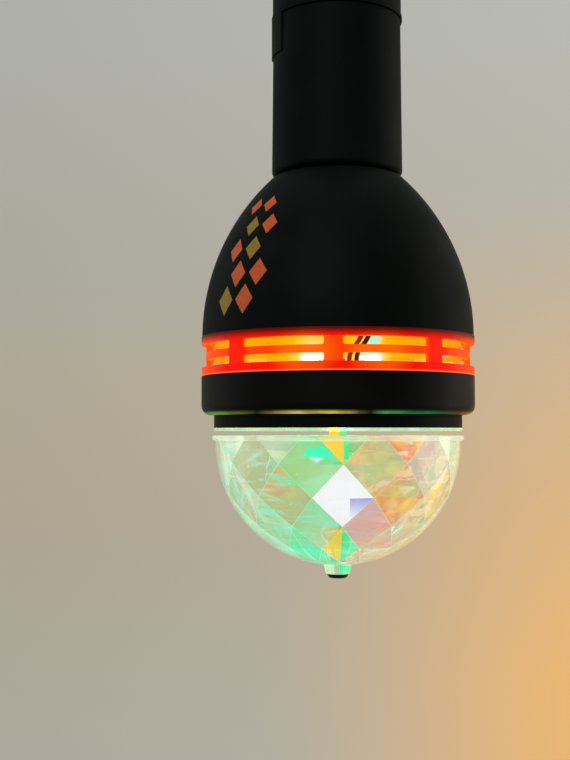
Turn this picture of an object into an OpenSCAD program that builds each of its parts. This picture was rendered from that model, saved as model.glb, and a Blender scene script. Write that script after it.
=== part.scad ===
// Disco light: a lamp with a turning crystal dome, screwed into a pendant lamp holder.
// Millimetres. Origin at the top face of the holder's cap, +Z up, the lamp hangs along -Z.
// The front of the lamp faces -Y.

/* [Lamp holder] */
// Height of the cap above the seam
cap_h = 20; // [19:0.5:24]
// How far the cap stands out past the mantle's top
cap_step = 0.2; // [0.2:0.1:1]
// Wall of the cap
cap_wall = 2; // [1.6:0.1:2.2]
// Radius of the cap's shoulder
shoulder_r = 8; // [6:0.5:9]
// Tapping drill of the M10 x 1 cord entry
entry_d = 8.92; // [8.8:0.02:9.1]
// Length of the cord entry's thread
entry_len = 9; // [8:0.5:10]
// Diameter of the entry boss
boss_d = 16; // [14.5:0.5:18]
// Height of the entry boss above the shoulder
boss_h = 3; // [2:0.5:4]
// Length of the mantle below the seam
mantle_h = 46.5; // [44:0.5:52]
// Mantle diameter at the mouth
mantle_mouth_d = 38.6; // [38.2:0.1:39.4]
// How much wider the mantle is at the mouth than at the seam
mantle_flare = 0.8; // [0.4:0.1:1]
// Wall of the mantle at the mouth
mouth_wall = 1.6; // [1.4:0.1:1.8]
// Width of the latch tab
latch_w = 11.5; // [8:0.5:14]
// Length of the latch tab below the seam
latch_h = 11.2; // [8:0.1:14]
// Angle of the latch tab to the left of the front
latch_angle = 74; // [60:1:90]
// Thickness of the terminal block
block_t = 10; // [9:0.5:11]

/* [Screw base] */
// Thread pitch
pitch = 3.629; // [3.6:0.001:3.66]
// Mean radius of the lamp's thread
thread_r = 12.6; // [12.5:0.05:12.7]
// Height of the thread wave above its mean
thread_a = 0.55; // [0.45:0.05:0.6]
// Gap between the lamp's thread and the socket's
thread_gap = 0.3; // [0.26:0.02:0.36]
// Length of the threaded base shell
base_h = 19; // [18:0.5:20]
// Height of the insulator above the shell
insulator_h = 5; // [4.5:0.5:6]
// Height of the eyelet
eyelet_h = 1.6; // [1.2:0.1:2]
// Segments of the threads round the axis
thread_n = 24; // [24:4:32]

/* [Upper housing] */
// Set-back of the housing's rim behind the bands
housing_step = 0.2; // [0.1:0.1:1]
// Height of the housing
housing_h = 49.9; // [49:0.1:51]
// How far the arched side ends outside the neck
shoulder_step = 2.43; // [2.2:0.01:2.8]
// Wall of the housing
housing_wall = 2; // [1.8:0.1:2.4]
// Gap between the mouth and the neck that enters it
neck_gap = 1; // [0.8:0.1:1.6]
// How far the neck stands inside the mouth
seat_depth = 2.1; // [1.5:0.1:3]

/* [Vent ring] */
// Diameter of the bands and of the lower bezel
body_d = 80; // [79:0.2:82]
// Height of the top band
top_band = 2.3; // [2:0.1:2.6]
// Height of the slots
slot_h = 2.3; // [2:0.1:2.6]
// Corner radius at the slots' ends
slot_corner = 0.6; // [0.4:0.1:0.9]
// Height of the middle bar
mid_bar = 2.1; // [1.8:0.1:2.4]
// Height of the bottom band
low_band = 2.5; // [2.2:0.1:2.8]
// Set-back of the slotted sleeve
sleeve_in = 1.3; // [1:0.1:1.5]
// Wall of the slotted sleeve
sleeve_wall = 1.5; // [1.3:0.1:1.8]
// Number of posts
posts = 8; // [6:1:10]
// Width of a post
post_w = 5; // [4:0.1:6]
// Angle of the first post from the front
post_angle = -1.5; // [-20:0.5:20]
// Height of the spigots that locate the ring
spigot_h = 2.5; // [2:0.1:3]

/* [Lower bezel] */
// Height of the bezel
bezel_h = 11.3; // [11:0.1:12]
// Wall of the bezel
bezel_wall = 2.2; // [2:0.1:2.6]
// Thickness of the bezel's deck
deck_t = 2; // [1.8:0.1:2.4]
// Fillet round the bezel's lower edge
bezel_fillet = 2.8; // [2:0.1:3.2]
// Set-back of the collar behind the bezel
collar_step = 3.7; // [3.4:0.1:4.4]
// Height of the collar
collar_h = 3.7; // [3.4:0.1:4.2]
// Wall of the collar
collar_wall = 2; // [1.6:0.1:2.4]
// Thickness of the cover lens
lens_t = 0.9; // [0.8:0.1:1.2]

/* [Crystal dome] */
// Set-back of the dome's skirt behind the flange
dome_step = 0.9; // [0.6:0.1:1.8]
// Height of the straight skirt between the flange and the ball
dome_skirt = 0.6; // [0.4:0.1:1.2]
// Number of facets round the inside of the dome
facets = 12; // [10:1:14]
// Latitude of the first ring of corners
first_lat = 9; // [7:0.5:11]
// Latitude between rings of corners
step_lat = 15.5; // [15:0.1:15.8]
// Angle of the first corner from the front
facet_angle = 2.6; // [-10:0.2:10]
// Least wall of the dome, at the facets' corners
dome_wall = 1.3; // [1.1:0.1:1.6]
// How far the flange stands out past the collar
flange_step = 0.5; // [0.3:0.1:1.2]
// Thickness of the flange
flange_t = 1.4; // [1.2:0.1:1.8]
// Gap between the cover lens and the flange
dome_gap = 1.3; // [1:0.1:2]
// Height of the nub under the dome
nub_h = 2.6; // [2.4:0.1:3.4]
// Diameter of the nub at the dome
nub_d = 8.6; // [8:0.1:9.4]
// Diameter of the nub at its end
nub_end_d = 7.2; // [6.4:0.1:7.8]
// Diameter of the dome screw's head
dome_screw_d = 4.7; // [4.4:0.1:5.4]

/* [Drive] */
// Diameter of the spindle
spindle_d = 5.2; // [5:0.1:5.6]
// Gear module
gear_m = 0.5; // [0.48:0.01:0.5]
// Pressure angle of the gears
gear_pa = 25; // [24:0.5:26]
// Teeth of the two pinions
pinion_z = 12; // [12:1:13]
// Teeth of the idler's wheel
idler_z = 40; // [36:2:40]
// Teeth of the output gear
output_z = 48; // [44:2:48]
// Backlash at the pitch circle
backlash = 0.12; // [0.1:0.01:0.16]
// Direction of the idler from the spindle
idler_angle = 180; // [170:5:190]
// Direction of the motor from the idler
motor_angle = 60; // [50:5:70]
// Diameter of the motor can
motor_d = 20; // [18:0.5:20.5]
// Height of the motor can
motor_h = 17; // [15:0.5:18]
// Running clearance of a shaft in its hole, on the radius
run_fit = 0.05; // [0.03:0.01:0.08]

/* [Lights and driver] */
// Distance of the main LEDs from the axis
led_r = 15; // [13:0.5:18]
// Set-back of the accent LEDs from the rim of their board
accent_led_step = 3.9; // [3.6:0.1:4]
// Accent LEDs of each kind
accent_count = 6; // [3:1:6]
// Angle of the first warm accent LED from the front
accent_angle = -13; // [-20:1:-10]
// Radius of the driver board
driver_r = 26; // [24:0.5:27]
// Height of the driver board above the motor can
driver_gap = 9; // [8:0.5:10]
// Diameter of the internal leads
lead_d = 1.3; // [1:0.1:1.4]

/* [Hidden] */
$fn = 64;
eps = 0.01;
fit = 0.1;
clear = 0.3;
board_t = 1.6;
front = -90;

// Levels, from the top face down
seam_z = -cap_h;
mouth_z = seam_z - mantle_h;
neck_z = mouth_z + seat_depth;
rim_z = neck_z - housing_h;
ring_h = top_band + 2 * slot_h + mid_bar + low_band;
ring_z = rim_z - ring_h;
bezel_z = ring_z - bezel_h;
deck_z = bezel_z + deck_t;
collar_z = bezel_z - collar_h;
lens_z = collar_z - lens_t;
flange_top_z = lens_z - dome_gap;
flange_z = flange_top_z - flange_t;
shell_top_z = neck_z + base_h;
insulator_z = shell_top_z + insulator_h;
eyelet_z = insulator_z + eyelet_h;

// Holder radii and levels
mantle_r = mantle_mouth_d / 2;
mantle_top_r = mantle_r - mantle_flare / 2;
mouth_r = mantle_r - mouth_wall;
cap_r = mantle_top_r + cap_step;
cap_bead = [0.3, 1.2];
latch_r = cap_r + cap_bead[0];
cap_in_r = cap_r - cap_wall;
entry_r = entry_d / 2;
collar_neck_r = cap_in_r - fit;
neck_wall = 1.6;
mantle_neck_h = 7;
contact_gap = 0.25;
block_z = eyelet_z + contact_gap + 1.6;
block_r = mouth_r - 0.6;
ledge_t = 1.5;
socket_in_r = thread_r + thread_gap;
socket_out_r = socket_in_r + thread_a + 0.6;
socket_z = mouth_z + 6.5;
side_x = socket_in_r - 0.85;
strip_t = 0.5;
strip_w = 5;
terminal_at = [[9, 0], [0, -5.5]];
leg_y = -10;
terminal_r = 1.2;
terminal_l = 6;

// Housing and ring radii
body_r = body_d / 2;
housing_r = body_r - housing_step;
housing_in_r = housing_r - housing_wall;
neck_r = mouth_r - neck_gap;
shoulder_z = mouth_z - 0.7;
arch_w = housing_r - neck_r - shoulder_step;
arch_h = shoulder_z - rim_z;
arch_r = (arch_w * arch_w + arch_h * arch_h) / (2 * arch_w);
arch_x = housing_r - arch_r;
collar_r = body_r - collar_step;
flange_r = collar_r + flange_step;
dome_r = flange_r - dome_step;
sleeve_r = body_r - sleeve_in;
sleeve_in_r = sleeve_r - sleeve_wall;
bezel_in_r = body_r - bezel_wall;
spigot_wall = 1.3;
spigot_top_r = housing_in_r - fit;
spigot_low_r = bezel_in_r - fit;
post_turn = 360 / posts;
slot_low_z = ring_z + low_band;
slot_high_z = slot_low_z + slot_h + mid_bar;

// Drive layout
spindle_r = spindle_d / 2;
journal_r = 1.5;
gear_gap = 0.03;
output_c = gear_m * (output_z + pinion_z) / 2 + gear_gap;
motor_c = gear_m * (idler_z + pinion_z) / 2 + gear_gap;
idler_at = output_c * [cos(idler_angle), sin(idler_angle)];
motor_at = idler_at + motor_c * [cos(motor_angle), sin(motor_angle)];
plate_t = 1.5;
plate_r = 25.5;
plate_front = 17.5;
gear_plate_z = deck_z + plate_t;
output_gear_z = gear_plate_z + 0.5;
output_gear_t = 2.5;
idler_wheel_z = output_gear_z + output_gear_t + 0.6;
idler_wheel_t = 1.8;
top_plate_z = idler_wheel_z + idler_wheel_t + 1;
motor_z = top_plate_z + plate_t;
motor_top_z = motor_z + motor_h;
motor_r = motor_d / 2;
can_wall = 0.8;
shaft_r = 1;
end_cap_t = 2;
spacer_at = [[17, 6], [2, 20.5], [-13.5, -15]];
spacer_r = 2.2;
bush_r = 4.6;

// Lights and driver
led_board_r = collar_r - collar_wall - fit;
led_board_z = bezel_z - board_t;
emitter_h = 1.4;
led_angles = [210, 330, 90];
screw_angles = [90, 210, 330];
screw_r = 0.9;
led_screw_at = led_board_r - 6.2;
accent_t = 1;
accent_out_r = min(spigot_low_r, spigot_top_r) - spigot_wall - clear;
accent_w = 7.5;
accent_in_r = accent_out_r - accent_w;
accent_r = accent_out_r - accent_led_step;
accent_z = slot_low_z - accent_t;
accent_screw_angles = [for (i = [0:3]) front + 2 + 90 * i];
accent_screw_at = accent_out_r - 2.5;
accent_led_w = 3.4;
accent_led_h = 1.4;
led_turn = 360 / accent_count;
driver_z = motor_top_z + driver_gap;
driver_top_z = driver_z + board_t;
boss_r = 3;
boss_at = 20;
boss_angles = [30, 150, 270];
lead_r = lead_d / 2;
capacitor_at = [-9.5, 5];
transformer_at = [6.4, 10.4];
film_at = [-9, -8];
rectifier_at = [6, -12];
lead_start = [9, -13];
lead_drop = 4;
lead_slot = [6, 3];
lead_slot_at = [4.6, -accent_r + 1.3];
reflector_r = accent_in_r + 0.4;
reflector_t = 0.6;
reflector_z = rim_z + spigot_h + 1;

// Dome
dome_in_r = dome_r - dome_wall;
dome_rings = 6;
hub_r = 4.6;
hub_h = 5;
ball_z = flange_z - dome_skirt;
pole_z = ball_z - dome_r;
nub_z = pole_z - nub_h + 0.2;
floor_z = ball_z - dome_in_r;

// Shared shapes

// A ring between two levels
module ring(r_out, r_in, z_low, z_high) {
    translate([0, 0, z_low])
        difference() {
            cylinder(r = r_out, h = z_high - z_low);
            translate([0, 0, -1])
                cylinder(r = r_in, h = z_high - z_low + 2);
        }
}

// A rod between two levels, standing at a point
module rod(r, z_low, z_high, at = [0, 0]) {
    translate([at[0], at[1], z_low])
        cylinder(r = r, h = z_high - z_low);
}

// Its children at a radius, once at each angle
module around(radius, angles) {
    for (a = angles)
        rotate(a)
            translate([radius, 0, 0])
                children();
}

// A pan-head screw: the head stands above z, the shank goes down from it
module pan_screw(head_r, head_h, shank_r, shank_l) {
    difference() {
        union() {
            cylinder(r = head_r, h = head_h);
            translate([0, 0, -shank_l])
                cylinder(r = shank_r, h = shank_l + eps);
        }
        for (a = [0, 90])
            rotate(a)
                translate([-head_r * 0.6, -0.25, head_h * 0.5])
                    cube([head_r * 1.2, 0.5, head_h]);
    }
}

// Half angle of an involute tooth at radius r
function involute(a) = tan(a) * 180 / PI - a;
function half_tooth(z, r) =
    let (pitch_r = gear_m * z / 2, base_r = pitch_r * cos(gear_pa))
    90 / z - backlash / 4 / pitch_r * 180 / PI + involute(gear_pa)
        - involute(acos(min(1, base_r / r)));

// Outline of a gear with z teeth, one tooth along +X
function gear_outline(z) =
    let (
        pitch_r = gear_m * z / 2,
        base_r = pitch_r * cos(gear_pa),
        root_r = pitch_r - 1.25 * gear_m,
        tip_r = pitch_r + 0.95 * gear_m,
        low_r = max(base_r, root_r + 0.05),
        flank = [root_r, for (k = [0:3]) low_r + (tip_r - low_r) * k / 3]
    )
    [
        for (i = [0:z - 1], side = [-1, 1], k = [0:4])
            let (
                r = flank[side < 0 ? k : 4 - k],
                a = 360 * i / z + side * half_tooth(z, max(r, low_r))
            )
            r * [cos(a), sin(a)]
    ];

module gear(z, t) {
    linear_extrude(t)
        polygon(gear_outline(z));
}

// A tube whose one side carries a right-hand thread wave and whose other side is plain
module thread_tube(mean_r, plain_r, z_low, z_high, male) {
    rows = ceil((z_high - z_low) / pitch * 8);
    n = thread_n;
    wave = [
        for (k = [0:rows], j = [0:n - 1])
            let (
                z = z_low + (z_high - z_low) * k / rows,
                a = 360 * j / n,
                r = mean_r + thread_a * cos(360 * z / pitch - a)
            )
            [r * cos(a), r * sin(a), z]
    ];
    plain = [
        for (z = [z_low, z_high], j = [0:n - 1])
            [plain_r * cos(360 * j / n), plain_r * sin(360 * j / n), z]
    ];
    p0 = (rows + 1) * n;
    top = rows * n;
    faces = [
        for (k = [0:rows - 1], j = [0:n - 1], half = [0, 1])
            let (a = k * n + j, b = k * n + (j + 1) % n)
            half == 0 ? [a, a + n, b + n] : [a, b + n, b],
        for (j = [0:n - 1])
            let (i = (j + 1) % n)
            [p0 + j, p0 + i, p0 + n + i, p0 + n + j],
        for (j = [0:n - 1])
            let (i = (j + 1) % n)
            [top + j, p0 + n + j, p0 + n + i, top + i],
        for (j = [0:n - 1])
            let (i = (j + 1) % n)
            [j, i, p0 + i, p0 + j]
    ];
    turned = [for (f = faces) [for (i = [len(f) - 1:-1:0]) f[i]]];
    polyhedron(concat(wave, plain), male ? faces : turned, convexity = 6);
}

// A point on a smooth curve through the route's points
function curve_point(p, i, t) =
    let (
        n = len(p) - 1,
        a = p[max(i - 1, 0)],
        b = p[i],
        c = p[i + 1],
        d = p[min(i + 2, n)]
    )
    0.5 * (2 * b + (c - a) * t + (2 * a - 5 * b + 4 * c - d) * t * t
        + (3 * b - a - 3 * c + d) * t * t * t);
function unit(v) = v / norm(v);

// A round lead along a route
module lead(route, r) {
    sides = 8;
    steps = 4;
    path = [
        for (i = [0:len(route) - 2], k = [0:steps - 1]) curve_point(route, i, k / steps),
        route[len(route) - 1]
    ];
    n = len(path);
    points = [
        for (i = [0:n - 1])
            let (
                t = unit(path[min(i + 1, n - 1)] - path[max(i - 1, 0)]),
                u = unit(cross(t, [0.31, 0.95, 0.02])),
                v = cross(t, u)
            )
            for (s = [0:sides - 1])
                path[i] + r * (cos(360 * s / sides) * u + sin(360 * s / sides) * v)
    ];
    polyhedron(
        points,
        [
            [for (s = [0:sides - 1]) s],
            for (i = [0:n - 2], s = [0:sides - 1], half = [0, 1])
                let (a = i * sides + s, b = i * sides + (s + 1) % sides)
                half == 0 ? [a, a + sides, b + sides] : [a, b + sides, b],
            [for (s = [sides - 1:-1:0]) (n - 1) * sides + s]
        ],
        convexity = 6
    );
}

// Lamp holder

// Half section of the cap, grown inwards by wall
module cap_section(inset, top_z) {
    r = shoulder_r - inset;
    translate([0, seam_z - (inset > 0 ? 1 : 0)])
        square([cap_r - inset, top_z - shoulder_r - seam_z + (inset > 0 ? 1 : 0) + eps]);
    intersection() {
        translate([cap_r - shoulder_r, top_z - shoulder_r])
            circle(r);
        translate([0, top_z - shoulder_r])
            square([cap_r, shoulder_r]);
    }
    translate([0, top_z - shoulder_r])
        square([cap_r - shoulder_r, r]);
}

module holder_cap() {
    color("#111312")
        difference() {
            union() {
                rotate_extrude()
                    difference() {
                        union() {
                            cap_section(0, -boss_h);
                            translate([0, seam_z])
                                square([cap_r + cap_bead[0], cap_bead[1]]);
                        }
                        cap_section(cap_wall, -boss_h);
                    }
                rod(boss_d / 2, -entry_len, 0);
            }
            rod(entry_r, -entry_len - 1, 1);
        }
}

module holder_mantle() {
    lip = mouth_wall;
    neck_in = collar_neck_r - neck_wall;
    ledge_z = block_z - ledge_t;
    color("#111312")
        difference() {
            union() {
                rotate_extrude()
                    union() {
                        polygon([
                            [0, mouth_z + lip], [mantle_r, mouth_z + lip], [mantle_top_r, seam_z],
                            [collar_neck_r, seam_z], [collar_neck_r, seam_z + mantle_neck_h],
                            [0, seam_z + mantle_neck_h]
                        ]);
                        translate([0, mouth_z])
                            square([mouth_r + eps, lip + eps]);
                        intersection() {
                            translate([mouth_r, mouth_z + lip])
                                circle(lip);
                            translate([0, mouth_z])
                                square([mantle_r, lip]);
                        }
                    }
                rotate(front - latch_angle)
                    translate([mantle_top_r - 1, -latch_w / 2, seam_z - latch_h])
                        intersection() {
                            cube([latch_r - mantle_top_r + 1, latch_w, latch_h]);
                            translate([1 - mantle_top_r, latch_w / 2, -1])
                                cylinder(r = latch_r, h = latch_h + 2);
                        }
            }
            rod(mouth_r, mouth_z - 1, ledge_z);
            rod(socket_out_r + clear, ledge_z - 1, block_z + eps);
            rod(min(block_r + fit, neck_in), block_z, seam_z + mantle_neck_h + 1);
        }
}

module terminal_block() {
    color("#e8e2d2")
        difference() {
            rod(min(block_r, collar_neck_r - neck_wall - fit), block_z, block_z + block_t);
            for (p = terminal_at)
                rod(terminal_r + fit, block_z + 2, block_z + block_t + 1, p);
            translate([-strip_w / 2 - fit, leg_y - strip_t / 2 - fit, block_z - 1])
                cube([strip_w + 2 * fit, strip_t + 2 * fit, block_t + 2]);
            translate([side_x - fit, -strip_w / 2 - fit, block_z - 1])
                cube([strip_t + 2 * fit, strip_w + 2 * fit, block_t + 2]);
        }
}

module socket_shell() {
    color("#b08d4a")
        thread_tube(socket_in_r, socket_out_r, socket_z, block_z, false);
}

// The leaf under the block, the leg that goes up through it and the foot under the screw
module centre_spring() {
    tip_z = eyelet_z + contact_gap;
    foot_z = block_z + block_t + 0.05;
    color("#c9a227")
        difference() {
            translate([-strip_w / 2, 0, 0])
                rotate([90, 0, 90])
                    linear_extrude(strip_w)
                        polygon([
                            [leg_y - strip_t / 2, foot_z + strip_t],
                            [leg_y - strip_t / 2, block_z - strip_t - 0.3],
                            [-2.5, tip_z], [2.5, tip_z], [2.5, tip_z + strip_t],
                            [-2.4, tip_z + strip_t], [leg_y + strip_t / 2, block_z - 0.3],
                            [leg_y + strip_t / 2, foot_z], [terminal_at[1][1] + 2.5, foot_z],
                            [terminal_at[1][1] + 2.5, foot_z + strip_t]
                        ]);
            rod(terminal_r + fit, block_z + 1, foot_z + 2, terminal_at[1]);
        }
}

module side_contact() {
    foot_z = block_z + block_t + 0.05;
    color("#c9a227")
        difference() {
            union() {
                translate([side_x, -strip_w / 2, block_z + 0.05])
                    cube([strip_t, strip_w, block_t + strip_t]);
                translate([terminal_at[0][0] - 2.5, -strip_w / 2, foot_z])
                    cube([side_x - terminal_at[0][0] + 2.5 + strip_t, strip_w, strip_t]);
            }
            rod(terminal_r + fit, block_z + 1, foot_z + 2, terminal_at[0]);
        }
}

module terminal_screws() {
    color("#c8c8c8")
        for (p = terminal_at)
            translate([p[0], p[1], block_z + block_t + strip_t + 0.1])
                pan_screw(1.9, 1.4, terminal_r, terminal_l);
}

// Screw base

module base_shell() {
    color("#c9ccd0")
        thread_tube(thread_r, thread_r - thread_a - 0.7, neck_z + 0.05, shell_top_z, true);
}

module base_insulator() {
    shell_in = thread_r - thread_a - 0.7;
    color("#15161a")
        rotate_extrude()
            difference() {
                polygon([
                    [0, shell_top_z - 3], [shell_in * cos(180 / thread_n) - 0.05, shell_top_z - 3],
                    [shell_in * cos(180 / thread_n) - 0.05, shell_top_z + 0.05],
                    [thread_r - 0.6, shell_top_z + 0.05],
                    [6, insulator_z], [0, insulator_z]
                ]);
                translate([0, shell_top_z - 4])
                    square([1.6, insulator_h + 5]);
            }
}

module base_eyelet() {
    color("#b9b9b4")
        rotate_extrude()
            polygon([
                [0, insulator_z + 0.05], [5, insulator_z + 0.05], [5, insulator_z + eyelet_h * 0.4],
                [3.4, eyelet_z], [0, eyelet_z]
            ]);
}

// Upper housing

// Half section of the arched dome, grown inwards by inset
module arch_section(inset, low_z, high_z) {
    intersection() {
        translate([arch_x, rim_z])
            circle(arch_r - inset, $fn = 180);
        translate([0, low_z])
            square([housing_r, high_z - low_z]);
    }
}

module upper_housing() {
    top_wall = 2.4;
    color("#101211")
        difference() {
            union() {
                rotate_extrude()
                    difference() {
                        arch_section(0, rim_z, neck_z);
                        translate([neck_r, shoulder_z])
                            square([housing_r, housing_h]);
                        arch_section(housing_wall, rim_z - 1, neck_z - top_wall);
                    }
                intersection() {
                    around(boss_at, boss_angles)
                        rod(boss_r, driver_top_z, neck_z);
                    rotate_extrude()
                        arch_section(housing_wall / 2, rim_z, neck_z - 1);
                }
            }
            rod(8, neck_z - top_wall - 1, neck_z + 1);
            around(boss_at, boss_angles)
                rod(screw_r, driver_top_z - 1, driver_top_z + 9);
        }
}

// Vent ring

// One slot: a sector of the sleeve whose ends have rounded corners
module slot(low_z) {
    span = post_turn - post_w / sleeve_r * 180 / PI;
    end = span / 2 - slot_corner / sleeve_r * 180 / PI;
    reach = body_r + 1;
    union() {
        translate([0, 0, low_z])
            rotate(-end)
                rotate_extrude(angle = 2 * end)
                    translate([sleeve_in_r - 1.5, 0])
                        square([reach - sleeve_in_r + 1.5, slot_h]);
        for (a = [-end, end])
            rotate(a)
                translate([sleeve_in_r - 1.5, 0, low_z])
                    rotate([90, 0, 90])
                        linear_extrude(sleeve_wall + 2.5)
                            union() {
                                translate([-slot_corner, slot_corner])
                                    square([2 * slot_corner, slot_h - 2 * slot_corner]);
                                for (z = [slot_corner + 2 * eps, slot_h - slot_corner - 2 * eps])
                                    translate([0, z])
                                        circle(slot_corner);
                            }
    }
}

module vent_ring() {
    color("#ff4a10")
        difference() {
            rotate_extrude()
                polygon([
                    [sleeve_in_r, slot_low_z], [spigot_low_r - spigot_wall, ring_z + 0.6],
                    [spigot_low_r - spigot_wall, ring_z - spigot_h], [spigot_low_r, ring_z - spigot_h],
                    [spigot_low_r, ring_z], [body_r, ring_z], [body_r, slot_low_z],
                    [sleeve_r, slot_low_z], [sleeve_r, rim_z - top_band], [body_r, rim_z - top_band],
                    [body_r, rim_z], [spigot_top_r, rim_z], [spigot_top_r, rim_z + spigot_h],
                    [spigot_top_r - spigot_wall, rim_z + spigot_h],
                    [spigot_top_r - spigot_wall, rim_z - 0.6], [sleeve_in_r, rim_z - top_band]
                ]);
            for (i = [0:posts - 1], z = [slot_low_z, slot_high_z])
                rotate(front + post_angle + post_turn * (i + 0.5))
                    slot(z);
        }
}

// Lower bezel

// The hole that the light's leads pass through
module lead_hole(z_low, z_high) {
    translate([lead_slot_at[0] - lead_slot[0] / 2, lead_slot_at[1] - lead_slot[1] / 2, z_low])
        cube([lead_slot[0], lead_slot[1], z_high - z_low]);
}

module lower_bezel() {
    color("#0e100f")
        difference() {
            union() {
                rotate_extrude()
                    difference() {
                        union() {
                            translate([0, bezel_z + bezel_fillet])
                                square([body_r, bezel_h - bezel_fillet]);
                            translate([0, bezel_z])
                                square([body_r - bezel_fillet, bezel_fillet + eps]);
                            translate([body_r - bezel_fillet, bezel_z + bezel_fillet])
                                circle(bezel_fillet);
                        }
                        translate([0, deck_z])
                            square([bezel_in_r, bezel_h]);
                    }
                around(accent_screw_at, accent_screw_angles)
                    rod(1.9, deck_z - eps, accent_z);
            }
            rod(bush_r + fit, bezel_z - 1, deck_z + 1);
            around(accent_screw_at, accent_screw_angles)
                rod(screw_r - 0.1, accent_z - 6, accent_z + 1);
            around(led_screw_at, screw_angles)
                rod(screw_r, bezel_z - 1, deck_z + 1);
            for (p = spacer_at)
                rod(screw_r, bezel_z - 1, deck_z + 1, p);
            lead_hole(bezel_z - 1, deck_z + 1);
        }
}

module led_carrier() {
    color("#0e100f")
        ring(collar_r, collar_r - collar_wall, collar_z, bezel_z);
}

module cover_lens() {
    lens_r = 5;
    cap = led_board_z - emitter_h - clear - collar_z;
    ball_r = (lens_r * lens_r + cap * cap) / (2 * cap);
    color("#e6fff4", 0.5)
        difference() {
            union() {
                rod(collar_r, lens_z, collar_z);
                around(led_r, led_angles)
                    translate([0, 0, collar_z])
                        intersection() {
                            translate([0, 0, cap - ball_r])
                                sphere(ball_r);
                            translate([0, 0, -eps])
                                cylinder(r = lens_r, h = cap + 1);
                        }
            }
            rod(spindle_r + 0.8, lens_z - 1, collar_z + 3);
        }
}

// Main light

module led_board() {
    color("#f4f4ee")
        difference() {
            rod(led_board_r, led_board_z, bezel_z);
            rod(bush_r + clear, led_board_z - 1, bezel_z + 1);
            around(led_screw_at, screw_angles)
                rod(screw_r + fit, led_board_z - 1, bezel_z + 1);
        }
}

// An emitter that faces down: a square base and a lens cut from a ball
module emitter(angle) {
    base = [6, 6, 0.5];
    ball_r = 2.2;
    ball_z = led_board_z - emitter_h + ball_r;
    around(led_r, [angle])
        union() {
            translate([-base[0] / 2, -base[1] / 2, led_board_z - base[2]])
                cube(base);
            intersection() {
                translate([0, 0, ball_z])
                    sphere(ball_r);
                rod(ball_r, led_board_z - base[2] - 1, led_board_z - base[2] + eps);
            }
        }
}

module red_led() {
    color("#ff3020")
        emitter(led_angles[0]);
}

module green_led() {
    color("#30ff60")
        emitter(led_angles[1]);
}

module blue_led() {
    color("#3060ff")
        emitter(led_angles[2]);
}

module led_screws() {
    color("#c8c8c8")
        around(led_screw_at, screw_angles)
            translate([0, 0, led_board_z])
                rotate([180, 0, 0])
                    pan_screw(1.7, 1, screw_r, board_t + deck_t);
}

// Accent light behind the slots

module accent_board() {
    color("#f4f4ee")
        difference() {
            ring(accent_out_r, accent_in_r, accent_z, accent_z + accent_t);
            around(accent_screw_at, accent_screw_angles)
                rod(screw_r, accent_z - 1, accent_z + accent_t + 1);
            lead_hole(accent_z - 1, accent_z + accent_t + 1);
        }
}

// A white wall behind the LEDs that flares out over them and throws their light out of the slots
module accent_reflector() {
    low_z = accent_z + accent_t;
    out_r = spigot_top_r - spigot_wall - clear;
    flare = out_r - reflector_r - reflector_t;
    color("#f4f4ee")
        difference() {
            rotate_extrude()
                polygon([
                    [reflector_r, low_z], [reflector_r + reflector_t, low_z],
                    [reflector_r + reflector_t, reflector_z - flare * 0.35],
                    [out_r, reflector_z - reflector_t], [out_r, reflector_z],
                    [reflector_r, reflector_z - flare * 0.35 + reflector_t]
                ]);
            lead_hole(rim_z - 3, reflector_z + 3);
        }
}

module accent_emitters(first) {
    around(accent_r, [for (i = [0:accent_count - 1]) front + first + led_turn * i])
        translate([-accent_led_w / 2, -accent_led_w / 2, accent_z + accent_t])
            difference() {
                cube([accent_led_w, accent_led_w, accent_led_h]);
                translate([accent_led_w / 2, accent_led_w / 2, accent_led_h - 0.3])
                    cylinder(r = accent_led_w * 0.36, h = 1);
            }
}

module accent_leds_warm() {
    color("#ffd060")
        accent_emitters(accent_angle);
}

module accent_leds_cool() {
    color("#a0fff0")
        accent_emitters(accent_angle + led_turn / 2);
}

module accent_screws() {
    color("#c8c8c8")
        around(accent_screw_at, accent_screw_angles)
            translate([0, 0, accent_z + accent_t])
                pan_screw(1.4, 0.9, screw_r - 0.1, 5);
}

// Drive

// A round plate with a straight front edge
module plate(z) {
    difference() {
        rod(plate_r, z, z + plate_t);
        translate([-plate_r, -plate_front - plate_r, z - 1])
            cube([2 * plate_r, plate_r, plate_t + 2]);
        for (p = spacer_at)
            rod(screw_r + fit, z - 1, z + plate_t + 1, p);
    }
}

module gear_plate() {
    color("#d8dadc")
        difference() {
            plate(deck_z);
            rod(bush_r, deck_z - 1, gear_plate_z + 1);
            rod(shaft_r, deck_z - 1, gear_plate_z + 1, idler_at);
        }
}

module top_plate() {
    color("#d8dadc")
        difference() {
            plate(top_plate_z);
            rod(journal_r + run_fit, top_plate_z - 1, motor_z + 1);
            rod(shaft_r, top_plate_z - 1, motor_z + 1, idler_at);
            rod(shaft_r + 0.6, top_plate_z - 1, motor_z + 1, motor_at);
        }
}

module plate_spacers() {
    color("#c9a227")
        for (p = spacer_at)
            translate([p[0], p[1], 0])
                ring(spacer_r, screw_r + fit, gear_plate_z, top_plate_z);
}

module plate_screws() {
    color("#c8c8c8")
        for (p = spacer_at)
            translate([p[0], p[1], motor_z])
                pan_screw(1.8, 1.2, screw_r, motor_z - bezel_z - 0.2);
}

module motor_can() {
    color("#c4c8cc")
        translate([motor_at[0], motor_at[1], 0])
            difference() {
                union() {
                    rod(motor_r, motor_z, motor_top_z);
                    rod(3, motor_top_z - eps, motor_top_z + 1.5);
                }
                rod(motor_r - can_wall, motor_z - 1, motor_top_z - can_wall);
                rod(shaft_r + run_fit, motor_z, motor_top_z + 2);
            }
}

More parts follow.
